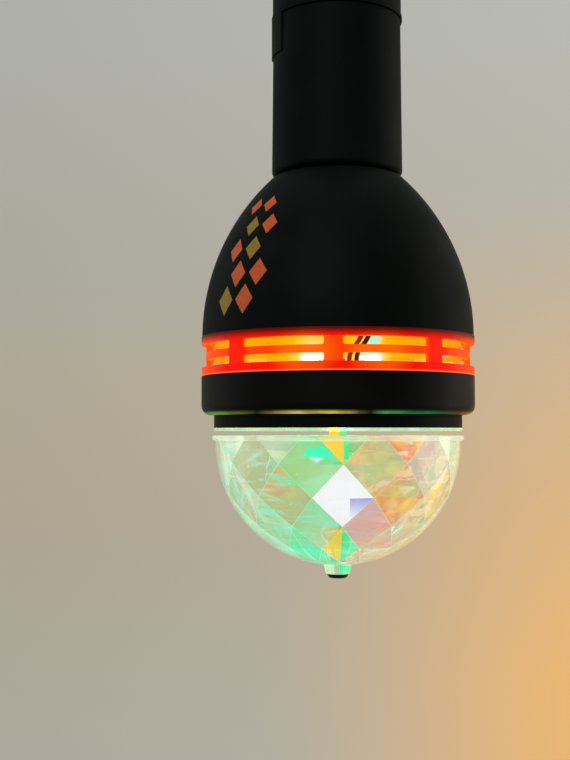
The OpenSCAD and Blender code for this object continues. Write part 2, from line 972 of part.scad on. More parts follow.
module motor_end_cap() {
    color("#f0f0ea")
        translate([motor_at[0], motor_at[1], 0])
            ring(motor_r - can_wall, shaft_r + run_fit, motor_z, motor_z + end_cap_t);
}

// Two curved magnets on the can's wall
module motor_magnets() {
    out_r = motor_r - can_wall;
    color("#3a3a3c")
        translate([motor_at[0], motor_at[1], 0])
            for (s = [0, 180])
                rotate(s - 60)
                    translate([0, 0, motor_z + end_cap_t + 0.5])
                        rotate_extrude(angle = 120)
                            translate([out_r - 1.6, 0])
                                square([1.6, motor_h - end_cap_t - can_wall - 1]);
}

module motor_rotor() {
    core_r = motor_r - can_wall - 2.1;
    color("#a86a32")
        union() {
            rod(shaft_r, idler_wheel_z, motor_top_z + 1.2, motor_at);
            translate([motor_at[0], motor_at[1], motor_z + end_cap_t + 1])
                difference() {
                    cylinder(r = core_r, h = motor_h - end_cap_t - can_wall - 2);
                    for (a = [0, 120, 240])
                        rotate(a)
                            translate([core_r - 2.5, -0.8, -1])
                                cube([4, 1.6, motor_h]);
                }
        }
}

module motor_pinion() {
    color("#f2ead0")
        translate([motor_at[0], motor_at[1], idler_wheel_z - 0.3])
            rotate(motor_angle + 180)
                difference() {
                    gear(pinion_z, idler_wheel_t + 0.8);
                    translate([0, 0, 0.3])
                        cylinder(r = shaft_r, h = idler_wheel_t + 1);
                }
}

module idler_gear() {
    low_z = output_gear_z - 0.1;
    color("#f2ead0")
        translate([idler_at[0], idler_at[1], 0])
            difference() {
                union() {
                    translate([0, 0, low_z])
                        rotate(idler_angle + 180 + 180 / pinion_z)
                            gear(pinion_z, idler_wheel_z - low_z + eps);
                    translate([0, 0, idler_wheel_z])
                        rotate(motor_angle + 180 / idler_z)
                            gear(idler_z, idler_wheel_t);
                }
                rod(shaft_r + run_fit, low_z - 1, top_plate_z);
            }
}

module idler_pin() {
    color("#c8c8c8")
        rod(shaft_r, deck_z + 0.02, motor_z, idler_at);
}

module output_gear() {
    color("#f2ead0")
        translate([0, 0, output_gear_z])
            difference() {
                rotate(idler_angle)
                    gear(output_z, output_gear_t);
                translate([0, 0, -1])
                    cylinder(r = spindle_r, h = output_gear_t + 2);
            }
}

module spindle() {
    low_z = floor_z + 1.2;
    color("#e9e9e4")
        difference() {
            union() {
                rod(spindle_r, low_z, output_gear_z + output_gear_t + 0.3);
                rod(journal_r, output_gear_z + output_gear_t, motor_z - 0.2);
            }
            rod(1, low_z - 1, low_z + 9);
        }
}

module spindle_bush() {
    color("#b08d4a")
        ring(bush_r, spindle_r + run_fit, bezel_z + 0.1, gear_plate_z);
}

// Crystal dome

// The hollow, a ball of flat triangles: rings of corners, each turned half a facet from the last
module facet_ball() {
    n = facets;
    lats = [for (k = [dome_rings:-1:0]) first_lat + step_lat * (k - 1)];
    points = [
        for (k = [0:dome_rings], j = [0:n - 1])
            let (
                lat = min(lats[k], 86),
                a = front + facet_angle + 360 / n * (j + (k - dome_rings + 1) / 2)
            )
            dome_in_r * [cos(lat) * cos(a), cos(lat) * sin(a), -sin(lat)]
    ];
    translate([0, 0, ball_z])
        polyhedron(
            points,
            [
                [for (j = [0:n - 1]) j],
                for (k = [0:dome_rings - 1], j = [0:n - 1], half = [0, 1])
                    let (a = k * n + j, b = k * n + (j + 1) % n)
                    half == 0 ? [a, a + n, b] : [a + n, b + n, b],
                [for (j = [n - 1:-1:0]) dome_rings * n + j]
            ],
            convexity = 4
        );
}

// The smooth outside: half a ball under a short skirt and the flange
module dome_skin() {
    intersection() {
        translate([0, 0, ball_z])
            sphere(dome_r, $fn = 120);
        rod(dome_r + 2, pole_z - 1, ball_z);
    }
    rod(dome_r, ball_z, flange_z);
    rod(flange_r, flange_z, flange_top_z);
}

module crystal_dome() {
    nub_top_z = pole_z + 0.6;
    color("#dff5ea", 0.5)
        difference() {
            union() {
                dome_skin();
                translate([0, 0, nub_z])
                    cylinder(r1 = nub_end_d / 2, r2 = nub_d / 2, h = nub_top_z - nub_z);
            }
            difference() {
                facet_ball();
                rod(hub_r, pole_z, floor_z + hub_h);
            }
            rod(spindle_r, floor_z + 1.2, floor_z + hub_h + 1);
            rod(1.3, nub_z - 1, floor_z + 2);
        }
}

module dome_screw() {
    color("#141414")
        translate([0, 0, nub_z])
            rotate([180, 0, 0])
                pan_screw(dome_screw_d / 2, 1.3, 1, floor_z - nub_z + 8);
}

// Driver

module driver_board() {
    color("#2f6b3c")
        difference() {
            rod(driver_r, driver_z, driver_top_z);
            around(boss_at, boss_angles)
                rod(screw_r + fit, driver_z - 1, driver_top_z + 1);
        }
}

module driver_screws() {
    color("#c8c8c8")
        around(boss_at, boss_angles)
            translate([0, 0, driver_z])
                rotate([180, 0, 0])
                    pan_screw(1.8, 1.1, screw_r, board_t + 7);
}

module smoothing_capacitor() {
    r = 5;
    h = 15;
    color("#20242c")
        translate([capacitor_at[0], capacitor_at[1], driver_top_z])
            rotate_extrude()
                polygon([
                    [0, 0], [r, 0], [r, 1.2], [r - 0.3, 1.6], [r, 2], [r, h - 0.4], [r - 0.4, h], [0, h]
                ]);
}

module transformer() {
    core = [14, 12, 3];
    coil = [10, 12, 11];
    color("#d9c23a")
        translate([transformer_at[0], transformer_at[1], driver_top_z])
            union() {
                for (z = [0, coil[2] - core[2]])
                    translate([-core[0] / 2, -core[1] / 2, z])
                        cube(core);
                translate([-coil[0] / 2, -coil[1] / 2, core[2] - eps])
                    cube([coil[0], coil[1], coil[2] - 2 * core[2] + 2 * eps]);
            }
}

module film_capacitor() {
    color("#9c2f22")
        translate([film_at[0], film_at[1], driver_top_z])
            translate([-6.5, -2.5, 0])
                cube([13, 5, 10]);
}

module rectifier() {
    color("#17181a")
        translate([rectifier_at[0], rectifier_at[1], driver_top_z])
            translate([-3.2, -2.4, 0])
                cube([6.4, 4.8, 2.6]);
}

// Wiring

module live_wire() {
    color("#7a4a24")
        lead([
            [4, 3, driver_top_z + 0.05], [4, 3, driver_top_z + 8], [2, 2, neck_z - 6],
            [0.4, 0.4, neck_z + 4], [0, 0, shell_top_z - 3], [0, 0, insulator_z - 0.4]
        ], lead_r);
}

module neutral_wire() {
    x = thread_r - thread_a - 0.7 - lead_r - 0.4;
    color("#2f55a8")
        lead([
            [7, -3, driver_top_z + 0.05], [7, -3, driver_top_z + 8], [5.5, -3, neck_z - 6],
            [6, -3, neck_z + 2], [x - 1.4, -2, neck_z + 8], [x - 0.6, 0, neck_z + 13]
        ], lead_r);
}

// From the driver board down past the slots to the LED board
module light_lead(side) {
    x = lead_slot_at[0] - 1.3 + side;
    y = lead_slot_at[1];
    start = [lead_start[0] + side, lead_start[1]];
    lead([
        [start[0], start[1], driver_z - clear], [start[0], start[1], driver_z - 2 * lead_d],
        [start[0], start[1] - lead_drop, driver_z - 2 * lead_d - lead_drop],
        [x + 2.6, y + 1.5, reflector_z + 3], [x + 1.6, y, reflector_z - 1],
        [x + 3.2, y - 0.5, slot_high_z + slot_h + 1.4], [x + 2.2, y - 0.5, slot_high_z + slot_h / 2],
        [x, y - 0.2, slot_high_z - 2.4], [x, y, slot_low_z - 3], [x, y, deck_z + 1], [x, y, bezel_z + 0.05]
    ], lead_r);
}

module red_lead() {
    color("#c01818")
        light_lead(0);
}

module black_lead() {
    color("#1a1a1a")
        light_lead(2);
}

holder_cap();
holder_mantle();
terminal_block();
socket_shell();
centre_spring();
side_contact();
terminal_screws();
base_shell();
base_insulator();
base_eyelet();
upper_housing();
vent_ring();
lower_bezel();
led_carrier();
cover_lens();
led_board();
red_led();
green_led();
blue_led();
led_screws();
accent_board();
accent_leds_warm();
accent_leds_cool();
accent_screws();
accent_reflector();
gear_plate();
top_plate();
plate_spacers();
plate_screws();
motor_can();
motor_end_cap();
motor_magnets();
motor_rotor();
motor_pinion();
idler_gear();
idler_pin();
output_gear();
spindle();
spindle_bush();
crystal_dome();
dome_screw();
driver_board();
driver_screws();
smoothing_capacitor();
transformer();
film_capacitor();
rectifier();
live_wire();
neutral_wire();
red_lead();
black_lead();
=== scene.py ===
import math
from functools import partial

import bmesh
import bpy
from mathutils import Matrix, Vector


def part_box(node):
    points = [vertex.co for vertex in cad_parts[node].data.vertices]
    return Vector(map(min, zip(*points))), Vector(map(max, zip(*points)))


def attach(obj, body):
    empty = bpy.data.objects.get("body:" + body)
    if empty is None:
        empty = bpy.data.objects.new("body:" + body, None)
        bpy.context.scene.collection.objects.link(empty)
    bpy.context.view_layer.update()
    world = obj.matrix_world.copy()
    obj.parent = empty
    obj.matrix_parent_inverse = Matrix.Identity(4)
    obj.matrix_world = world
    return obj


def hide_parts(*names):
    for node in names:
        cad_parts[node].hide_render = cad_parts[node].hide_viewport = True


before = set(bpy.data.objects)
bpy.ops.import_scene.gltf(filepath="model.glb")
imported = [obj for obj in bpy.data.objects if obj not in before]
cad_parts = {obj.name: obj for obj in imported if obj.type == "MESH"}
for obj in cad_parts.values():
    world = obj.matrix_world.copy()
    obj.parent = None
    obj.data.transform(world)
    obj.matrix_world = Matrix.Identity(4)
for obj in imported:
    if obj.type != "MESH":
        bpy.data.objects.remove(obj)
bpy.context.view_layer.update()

# Lamp holder cap and mantle
# A plain-skirt E27 holder in black heat-proof thermoplastic: the cap takes the threaded cord entry,
# the mantle screws into it and is kept from undoing by a sprung latch at the seam.
MM = 0.001


def linear(hex_colour, alpha=1.0):
    """An sRGB hex colour as linear red, green and blue, with alpha."""
    parts = [int(hex_colour[i:i + 2], 16) / 255 for i in (1, 3, 5)]
    return [c / 12.92 if c <= 0.04045 else ((c + 0.055) / 1.055) ** 2.4 for c in parts] + [alpha]


def add_node(material, kind, links=None, stops=None, **settings):
    """Adds one node with its settings. A node or a socket in links is joined up, any other value is set."""
    tree = material.node_tree
    node = tree.nodes.new("ShaderNode" + kind)
    for name, value in settings.items():
        setattr(node, name, value)
    if stops:
        ramp = node.color_ramp
        while len(ramp.elements) < len(stops):
            ramp.elements.new(0.5)
        for element, (place, colour) in zip(ramp.elements, stops):
            element.position = place
            element.color = linear(colour) if isinstance(colour, str) else [colour] * 3 + [1]
    for name, value in (links or {}).items():
        if isinstance(value, bpy.types.Node):
            value = next(socket for socket in value.outputs if socket.enabled)
        if isinstance(value, bpy.types.NodeSocket):
            tree.links.new(value, node.inputs[name])
        else:
            node.inputs[name].default_value = value
    return node


def new_material(name):
    """An empty material, the call that puts nodes in it, and the place that its patterns follow."""
    material = bpy.data.materials.new(name)
    material.use_nodes = True
    material.node_tree.nodes.clear()
    put = partial(add_node, material)
    return material, put, put("TexCoord").outputs["Object"]


def moulded_plastic(name, colour, scuffed, roughness, grain_mm, edge_mm=0.25, relief=0.12, specular=0.5):
    """Injection-moulded plastic: spark-eroded grain, slow cloudy changes of gloss, softened edges. The real
    grain is about 0.1 mm across and is drawn coarser, so that it shows."""
    cloud_mm, grain_depth_mm = 14, 0.06
    material, put, place = new_material(name)
    grain = put("TexNoise", {"Vector": place, "Scale": 1 / (grain_mm * MM), "Detail": 3.0})
    cloud = put("TexNoise", {"Vector": place, "Scale": 1 / (cloud_mm * MM), "Detail": 4.0})
    tone = put("ValToRGB", {"Fac": cloud}, stops=[(0.35, colour), (0.75, scuffed)])
    gloss = put("MapRange", {
        "Value": cloud, "From Min": 0.3, "From Max": 0.7,
        "To Min": roughness - 0.05, "To Max": roughness + 0.07})
    soft_edge = put("Bevel", {"Radius": edge_mm * MM}, samples=4)
    bump = put("Bump", {
        "Height": grain, "Strength": relief, "Distance": grain_depth_mm * MM, "Normal": soft_edge})
    shader = put("BsdfPrincipled", {
        "Base Color": tone, "Roughness": gloss, "Normal": bump, "IOR": 1.52, "Specular IOR Level": specular})
    put("OutputMaterial", {"Surface": shader})
    return material


def finish_as(material, slot, *names):
    """Gives CAD nodes their material. The slot argument is not used."""
    for name in names:
        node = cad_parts[name]
        node.data.materials.clear()
        node.data.materials.append(material)


# Black PBT with a fine eroded grain: a dull black that goes grey only where it turns to the light.
holder_black = moulded_plastic("black_PBT_moulded", "#030505", "#050a09", 0.56, 0.55, specular=0.03)
finish_as(holder_black, "holder_plastic", "holder_cap", "holder_mantle")


# Terminal block and contacts
# A glazed steatite block carries the brass screw terminals, the sprung centre contact and the side
# contact, and the rolled brass thread shell that the lamp base turns in.
def plated_metal(name, colour, tarnish, roughness, grain_mm):
    """Drawn or stamped metal: draw marks along the axis, slight tarnish in clouds. The real marks are finer
    than 0.1 mm and are drawn coarser, so that they show."""
    mark_length, cloud_mm, mark_depth_mm = 12, 5, 0.02
    material, put, place = new_material(name)
    across = 1 / (grain_mm * MM)
    stretch = put("Mapping", {"Vector": place, "Scale": (across, across, across / mark_length)})
    marks = put("TexNoise", {"Vector": stretch, "Scale": 1.0, "Detail": 2.0})
    cloud = put("TexNoise", {"Vector": place, "Scale": 1 / (cloud_mm * MM), "Detail": 4.0})
    tone = put("ValToRGB", {"Fac": cloud}, stops=[(0.4, colour), (0.8, tarnish)])
    gloss = put("MapRange", {
        "Value": marks, "From Min": 0.3, "From Max": 0.7,
        "To Min": roughness - 0.06, "To Max": roughness + 0.1})
    soft_edge = put("Bevel", {"Radius": 0.12 * MM}, samples=4)
    bump = put("Bump", {
        "Height": marks, "Strength": 0.1, "Distance": mark_depth_mm * MM, "Normal": soft_edge})
    shader = put("BsdfPrincipled", {"Base Color": tone, "Metallic": 1.0, "Roughness": gloss, "Normal": bump})
    put("OutputMaterial", {"Surface": shader})
    return material


# Glazed steatite: warm white, glossy, faint specks under the glaze.
steatite = moulded_plastic("glazed_steatite", "#e6e0d2", "#d8d0bf", 0.2, 1.2, relief=0.05)
# Rolled brass: yellow, half bright, browning in patches.
brass = plated_metal("rolled_brass", "#c9a24e", "#a47f38", 0.28, 0.4)
# Zinc-plated steel: cool grey with drawn marks.
zinc_steel = plated_metal("zinc_plated_steel", "#b9bcbd", "#9fa1a0", 0.32, 0.4)
finish_as(steatite, "ceramic_block", "terminal_block")
finish_as(brass, "brass", "socket_shell", "centre_spring", "side_contact")
finish_as(zinc_steel, "steel", "terminal_screws")

# Screw base of the lamp
# A rolled nickel-plated E27 shell, closed by a black vitrite glass button with a soldered eyelet.
# Nickel plate: warm silver, brighter than the steel.
nickel = plated_metal("nickel_plated_brass", "#cfc8ba", "#b3aa98", 0.2, 0.5)
# Vitrite: black glass, poured, so glossy with slow ripples.
vitrite = moulded_plastic("black_vitrite_glass", "#08070a", "#0e0c10", 0.12, 2.5, relief=0.1)
# Solder: soft grey tin with a satin, uneven skin.
solder = plated_metal("tin_solder", "#c3c4c4", "#a5a6a6", 0.36, 0.8)
finish_as(nickel, "nickel", "base_shell")
finish_as(vitrite, "vitrite", "base_insulator")
finish_as(solder, "solder", "base_eyelet")

# Upper housing
# An egg-shaped shell of black ABS that snaps over the vent ring; a band of plain lozenges
# is pad-printed on one shoulder.
# Black ABS: satin, a shade glossier than the holder.
housing_black = moulded_plastic("black_ABS_satin", "#030504", "#050a08", 0.52, 0.5, specular=0.03)
finish_as(housing_black, "housing_plastic", "upper_housing")

housing_low, housing_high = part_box("upper_housing")
arch_r = 64 * MM
arch_centre_r = housing_high.x - arch_r
ink_film = 0.04 * MM
lozenge_cells = 6


def housing_point(angle, rise, lift):
    """A point on the housing: angle from the front in radians, arc length up from the rim, lift off it."""
    turn = rise / arch_r
    radius = arch_centre_r + (arch_r + lift) * math.cos(turn)
    z = housing_low.z + (arch_r + lift) * math.sin(turn)
    return Vector((radius * math.sin(angle), -radius * math.cos(angle), z))


def make_piece(name, form):
    """An object in the scene from a mesh form, its faces turned outwards."""
    mesh = bpy.data.meshes.new(name)
    bmesh.ops.recalc_face_normals(form, faces=form.faces)
    form.to_mesh(mesh)
    form.free()
    piece = bpy.data.objects.new(name, mesh)
    bpy.context.scene.collection.objects.link(piece)
    return piece


def printed_lozenges(name, marks, material):
    """Thin printed lozenges, each a small grid that follows the housing's double curve."""
    form = bmesh.new()
    steps = range(lozenge_cells)
    for angle, rise, half_width, half_height in marks:
        radius = -housing_point(0, rise, 0).y
        grid = {}
        for i in range(lozenge_cells + 1):
            for j in range(lozenge_cells + 1):
                u, v = i / lozenge_cells, j / lozenge_cells
                across, up = (u - v) * half_width, (u + v - 1) * half_height
                grid[i, j] = form.verts.new(housing_point(angle + across / radius, rise + up, ink_film))
        for i in steps:
            for j in steps:
                form.faces.new([grid[i, j], grid[i + 1, j], grid[i + 1, j + 1], grid[i, j + 1]])
    piece = make_piece(name, form)
    piece.data.shade_smooth()
    piece.data.materials.append(material)
    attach(piece, "bulb")


def printing_ink(name, colour, thin, metallic, roughness):
    """Pad-printed ink: thin film, slightly mottled where the pad lifted."""
    mottle_mm, film_relief_mm = 0.8, 0.03
    material, put, place = new_material(name)
    mottle = put("TexNoise", {"Vector": place, "Scale": 1 / (mottle_mm * MM), "Detail": 3.0})
    tone = put("ValToRGB", {"Fac": mottle}, stops=[(0.35, colour), (0.75, thin)])
    bump = put("Bump", {"Height": mottle, "Strength": 0.08, "Distance": film_relief_mm * MM})
    shader = put("BsdfPrincipled", {
        "Base Color": tone, "Metallic": metallic, "Roughness": roughness, "Specular IOR Level": 0.2,
        "Normal": bump})
    put("OutputMaterial", {"Surface": shader})
    return material


# Orange ink: a matt film, dulled by the black under it.
orange_ink = printing_ink("orange_pad_print", "#a84819", "#963d14", 0.0, 0.55)
# Gold ink: bronze powder in lacquer, so dull gold and a little metallic.
gold_ink = printing_ink("gold_pad_print", "#82681a", "#6c5513", 0.3, 0.5)
# Two lozenges in each row, smaller towards the top, every second row half a step on.
lozenge_rows, first_rise, row_rise, row_shrink = 5, 8.5 * MM, 7.4 * MM, 0.07
lozenge_half_w, lozenge_half_h = 3.3 * MM, 4.2 * MM
shoulder_turn, lozenge_turn = math.radians(-46), math.radians(11.5)
orange_marks, gold_marks = [], []
for row in range(lozenge_rows):
    shrink = 1 - row_shrink * row
    for side in range(2):
        angle = shoulder_turn + (side - 0.5 + 0.5 * (row % 2)) * lozenge_turn
        mark = (angle, first_rise + row_rise * row, lozenge_half_w * shrink, lozenge_half_h * shrink)
        (gold_marks if (row + side) % 3 == 0 else orange_marks).append(mark)
printed_lozenges("printed_lozenges_orange", orange_marks, orange_ink)
printed_lozenges("printed_lozenges_gold", gold_marks, gold_ink)

# Vent ring
# One moulding of translucent orange polycarbonate between the two black shells: two proud bands and
# a slotted sleeve between them, lit from inside; its glow is painted on as light that the surface gives off.
band_proud, sleeve_wall, ring_drop = 1.3 * MM, 1.5 * MM, 11.5 * MM
band_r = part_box("vent_ring")[1].x
sleeve_r = band_r - band_proud
glow_in_r = sleeve_r - sleeve_wall - 0.5 * MM
low_band_z = housing_low.z - ring_drop
post_count = 8
led_ring_r, led_top_z = 32.2 * MM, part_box("accent_leds_warm")[1].z
lit_spots = [(led_ring_r * math.sin(turn), -led_ring_r * math.cos(turn), led_top_z)
             for turn in (math.radians(-13), math.radians(17))]


def from_lit_leds(put, place):
    """How far a point is from the nearer of the two brightest LEDs."""
    away = [put("VectorMath", {0: place, 1: spot}, operation="DISTANCE") for spot in lit_spots]
    return put("Math", {0: away[0], 1: away[1]}, operation="MINIMUM")


def painted_glow_ring(name):
    """Translucent orange with a painted glow for the light from inside: deep red on the thick bands and posts,
    orange on the thin bar, amber on the inside, painted paler light near the brightest LEDs and round the
    flanks, a painted highlight along the lowest edge, and painted shade dimming the top of the upper band."""
    material, put, place = new_material(name)
    parts = put("SeparateXYZ", {"Vector": place}).outputs
    flat = put("CombineXYZ", {"X": parts["X"], "Y": parts["Y"]})
    radius = put("VectorMath", {0: flat}, operation="LENGTH")
    depth = put("MapRange", {"Value": radius, "From Min": glow_in_r, "From Max": band_r})
    height = put("MapRange", {"Value": parts["Z"], "From Min": low_band_z, "From Max": housing_low.z})
    skin = (sleeve_r - glow_in_r) / (band_r - glow_in_r)
    tone = put("ValToRGB", {"Fac": depth}, stops=[
        (0.0, "#ffb010"), (0.2, "#ff9208"), (skin - 0.04, "#ff4600"), (skin + 0.12, "#ff1800"),
        (1.0, "#ff1400")])
    # Painted shade: the glow dims towards the top of the upper band, under the housing.
    painted_shade_by_height = put("ValToRGB", {"Fac": height}, stops=[
        (0.0, 1.0), (0.03, 0.86), (0.2, 0.9), (0.6, 1.0), (0.8, 0.9), (0.88, 0.45), (0.95, 0.14), (1.0, 0.05)])
    cloud = put("TexNoise", {"Vector": place, "Scale": 1 / (7 * MM), "Detail": 2.0})
    uneven = put("MapRange", {
        "Value": cloud, "From Min": 0.3, "From Max": 0.7, "To Min": 0.95, "To Max": 1.12})
    inner = put("MapRange", {
        "Value": depth, "From Min": skin * 0.4, "From Max": skin * 0.7, "To Min": 0.9, "To Max": 0.0})
    fullest = put("Math", {0: painted_shade_by_height, 1: inner}, operation="MAXIMUM")
    level = put("Math", {0: fullest, 1: uneven}, operation="MULTIPLY")
    # Painted light: paler round the two brightest LEDs.
    painted_led_halo = put("MapRange", {
        "Value": from_lit_leds(put, place), "From Min": 6.4 * MM, "From Max": 12 * MM,
        "To Min": 0.3, "To Max": 0.0}, interpolation_type="SMOOTHSTEP")
    round_axis = put("Math", {0: parts["X"], 1: parts["Y"]}, operation="ARCTAN2")
    by_post = put("Math", {0: round_axis, 1: post_count}, operation="MULTIPLY")
    post_wave = put("Math", {0: by_post}, operation="COSINE")
    aside = put("Math", {0: parts["X"]}, operation="ABSOLUTE")
    post_red = put("MapRange", {
        "Value": aside, "From Min": 5 * MM, "From Max": 15 * MM, "To Min": 0.1, "To Max": 0.85})
    post = put("MapRange", {"Value": post_wave, "From Min": 0.55, "From Max": 0.8, "To Max": post_red})
    # Painted sheen, more orange round the flanks, and a painted highlight along the lowest edge.
    flank = put("MapRange", {"Value": aside, "From Min": 31 * MM, "From Max": 39 * MM, "To Max": 0.5})
    painted_lip_highlight = put("MapRange", {
        "Value": parts["Z"], "From Min": low_band_z + 0.1 * MM, "From Max": low_band_z + 0.7 * MM,
        "To Min": 0.6, "To Max": 0.0}, interpolation_type="SMOOTHSTEP")
    for share, colour in [(post, "#ff0a00"), (flank, "#ff6e14"), (painted_led_halo, "#ffa010"), (painted_lip_highlight, "#ff8250")]:
        tone = put("Mix", {0: share, 6: tone, 7: linear(colour)}, data_type="RGBA")
    soft_edge = put("Bevel", {"Radius": 0.3 * MM}, samples=4)
    shader = put("BsdfPrincipled", {
        "Base Color": linear("#300300"), "Roughness": 0.42, "IOR": 1.58, "Specular IOR Level": 0.03,
        "Normal": soft_edge, "Emission Color": tone, "Emission Strength": level})
    put("OutputMaterial", {"Surface": shader})
    return material


finish_as(painted_glow_ring("orange_polycarbonate_lit"), "orange_plastic", "vent_ring")


# Accent light behind the vent ring
# A ring-shaped white board with warm and cool LEDs, and a flared white reflector with shallow ribs that
# throws their light out through the slots; the leads from the driver pass in front of it.
def solder_mask(name, colour, track, roughness, pitch_mm, glow="#ffffff", strength=0.0):
    """Printed board: a smooth mask with faint copper tracks under it; glow and strength paint on a glow for
    the light it bounces.
    """
    track_height_mm = 0.05
    material, put, place = new_material(name)
    tracks = put("TexBrick", {
        "Vector": place, "Scale": 1 / (pitch_mm * MM), "Mortar Size": 0.06,
        "Color1": linear(colour), "Color2": linear(colour), "Mortar": linear(track)})
    bump = put("Bump", {"Height": tracks.outputs["Fac"], "Strength": 0.15, "Distance": track_height_mm * MM})
    shader = put("BsdfPrincipled", {
        "Base Color": tracks, "Roughness": roughness, "Normal": bump,
        "Emission Color": linear(glow), "Emission Strength": strength})
    put("OutputMaterial", {"Surface": shader})
    return material


def lit_led(name, colour, glow, strength, waiting_painted_glow=None):
    """A lit LED: the chip glows through its hazy silicone lens. Round the back of the ring those that wait
    their turn get a weaker painted amber glow, standing in for the light about them."""
    haze_mm, painted_glow_strength = 1.5, 0.85
    material, put, place = new_material(name)
    tone, power = linear(glow), strength
    if waiting_painted_glow:
        back = put("SeparateXYZ", {"Vector": place}).outputs["Y"]
        chase = put("MapRange", {"Value": back, "From Min": -28.5 * MM, "From Max": -27 * MM})
        tone = put("Mix", {0: chase, 6: linear(glow), 7: linear(waiting_painted_glow)}, data_type="RGBA")
        power = put("MapRange", {"Value": chase, "To Min": strength, "To Max": painted_glow_strength})
    haze = put("TexNoise", {"Vector": place, "Scale": 1 / (haze_mm * MM), "Detail": 2.0})
    bump = put("Bump", {"Height": haze, "Strength": 0.1, "Distance": 0.1 * MM})
    shader = put("BsdfPrincipled", {
        "Base Color": linear(colour), "Roughness": 0.25, "Specular IOR Level": 0.2, "Normal": bump,
        "Emission Color": tone, "Emission Strength": power})
    put("OutputMaterial", {"Surface": shader})
    return material


# Where the reflector shows a painted reflection of the cool LED.
cool_glint = (9.9 * MM, 0, low_band_z + 9.2 * MM)
rib_gap = 0.9 * MM


def painted_glow_reflector(name):
    """White polycarbonate with a painted amber glow for the light it bounces, painted nearly white beside the
    brightest LEDs, with one painted cool glint and brown lines in the ribs, which show in places."""
    material, put, place = new_material(name)
    parts = put("SeparateXYZ", {"Vector": place}).outputs
    far = put("MapRange", {"Value": from_lit_leds(put, place), "From Min": 3.6 * MM, "From Max": 12 * MM})
    tone = put("ValToRGB", {"Fac": far}, stops=[
        (0.0, "#fffbe6"), (0.2, "#ffd250"), (0.5, "#ffb40a"), (1.0, "#ffa500")])
    front_on = put("CombineXYZ", {"X": parts["X"], "Z": parts["Z"]})
    from_cool = put("VectorMath", {0: front_on, 1: cool_glint}, operation="DISTANCE")
    cool = put("MapRange", {
        "Value": from_cool, "From Min": 0.8 * MM, "From Max": 2.6 * MM, "To Min": 0.9, "To Max": 0.0},
        interpolation_type="SMOOTHSTEP")
    ribs = put("TexWave", {"Vector": place, "Scale": math.pi / (10 * rib_gap)}, bands_direction="Z")
    patch = put("TexNoise", {"Vector": place, "Scale": 1 / (6 * MM)})
    rib = put("MapRange", {"Value": ribs.outputs["Fac"], "From Min": 0.86, "From Max": 0.98})
    seen = put("MapRange", {"Value": patch, "From Min": 0.5, "From Max": 0.56, "To Max": 0.7})
    rib_seen = put("Math", {0: rib, 1: seen}, operation="MULTIPLY")
    for share, colour in [(rib_seen, "#a05000"), (cool, "#50f5dc")]:
        tone = put("Mix", {0: share, 6: tone, 7: linear(colour)}, data_type="RGBA")
    grain = put("TexNoise", {"Vector": place, "Scale": 1 / (0.8 * MM), "Detail": 3.0})
    bump = put("Bump", {"Height": grain, "Strength": 0.1, "Distance": 0.06 * MM})
    shader = put("BsdfPrincipled", {
        "Base Color": linear("#8c5008"), "Roughness": 0.5, "Specular IOR Level": 0.1, "Normal": bump,
        "Emission Color": tone, "Emission Strength": 1.0})
    put("OutputMaterial", {"Surface": shader})
    return material


# White solder mask with the amber light of the ring painted on: a dim, even amber colour and glow.
amber_painted_light_mask = solder_mask("white_solder_mask_lit", "#b87818", "#9a6010", 0.4, 3.0, "#ffb010", 0.6)
# Warm and cool white LEDs: nearly white where they are lit, a painted amber glow where they wait.
warm_led = lit_led("warm_white_LED_lit", "#6e4610", "#fff0c4", 2.4, "#ffbe3c")
cool_led = lit_led("cool_white_LED_lit", "#6e4c10", "#e6fff6", 2.4, "#ffc850")
finish_as(amber_painted_light_mask, "white_board", "accent_board")
finish_as(painted_glow_reflector("white_PC_reflector_lit"), "motor_plastic", "accent_reflector")
finish_as(warm_led, "led_warm", "accent_leds_warm")
finish_as(cool_led, "led_cool", "accent_leds_cool")
finish_as(zinc_steel, "steel", "accent_screws")

# Lower bezel, light carrier and lens
# A black ABS ring with a rounded lower edge; under it a short collar carries the clear lens plate,
# which covers the board with the three coloured LEDs.
bezel_low, bezel_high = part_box("lower_bezel")


def bezel_with_painted_reflections(name):
    """Black ABS, smoother than the housing, with painted reflections of the colours under it glowing in broken
    patches along its rounded lower edge.
    """
    material = moulded_plastic(name, "#040503", "#070805", 0.42, 0.5, edge_mm=0.35, specular=0.04)
    put = partial(add_node, material)
    place = put("TexCoord").outputs["Object"]
    parts = put("SeparateXYZ", {"Vector": place}).outputs
    across = put("MapRange", {"Value": parts["X"], "From Min": bezel_low.x, "From Max": bezel_high.x})
    tone = put("ValToRGB", {"Fac": across}, stops=[
        (0.0, "#0a6e3c"), (0.07, "#5a8c32"), (0.17, "#6e781e"), (0.23, "#0f1400"), (0.28, "#6e6410"),
        (0.38, "#d2c350"), (0.5, "#d2be46"), (0.57, "#5a4b00"), (0.61, "#050f05"), (0.66, "#3ca55a"),
        (0.74, "#148246"), (0.86, "#14462d"), (0.92, "#463214"), (1.0, "#be8732")])
    edge = put("MapRange", {
        "Value": parts["Z"], "From Min": bezel_low.z + 0.2 * MM, "From Max": bezel_low.z + 1.2 * MM,
        "To Min": 1.0, "To Max": 0.0}, interpolation_type="SMOOTHSTEP")
    patch = put("TexNoise", {"Vector": place, "Scale": 1 / (8 * MM), "Detail": 2.0})
    broken = put("MapRange", {
        "Value": patch, "From Min": 0.38, "From Max": 0.55, "To Min": 0.55, "To Max": 1.0})
    level = put("Math", {0: edge, 1: broken}, operation="MULTIPLY")
    shader = material.node_tree.nodes["Principled BSDF"]
    for socket, value in [("Emission Color", tone), ("Emission Strength", level)]:
        material.node_tree.links.new(value.outputs[0], shader.inputs[socket])
    return material


finish_as(bezel_with_painted_reflections("black_ABS_bezel_painted_reflections"), "housing_plastic", "lower_bezel")
finish_as(housing_black, "housing_plastic", "led_carrier")


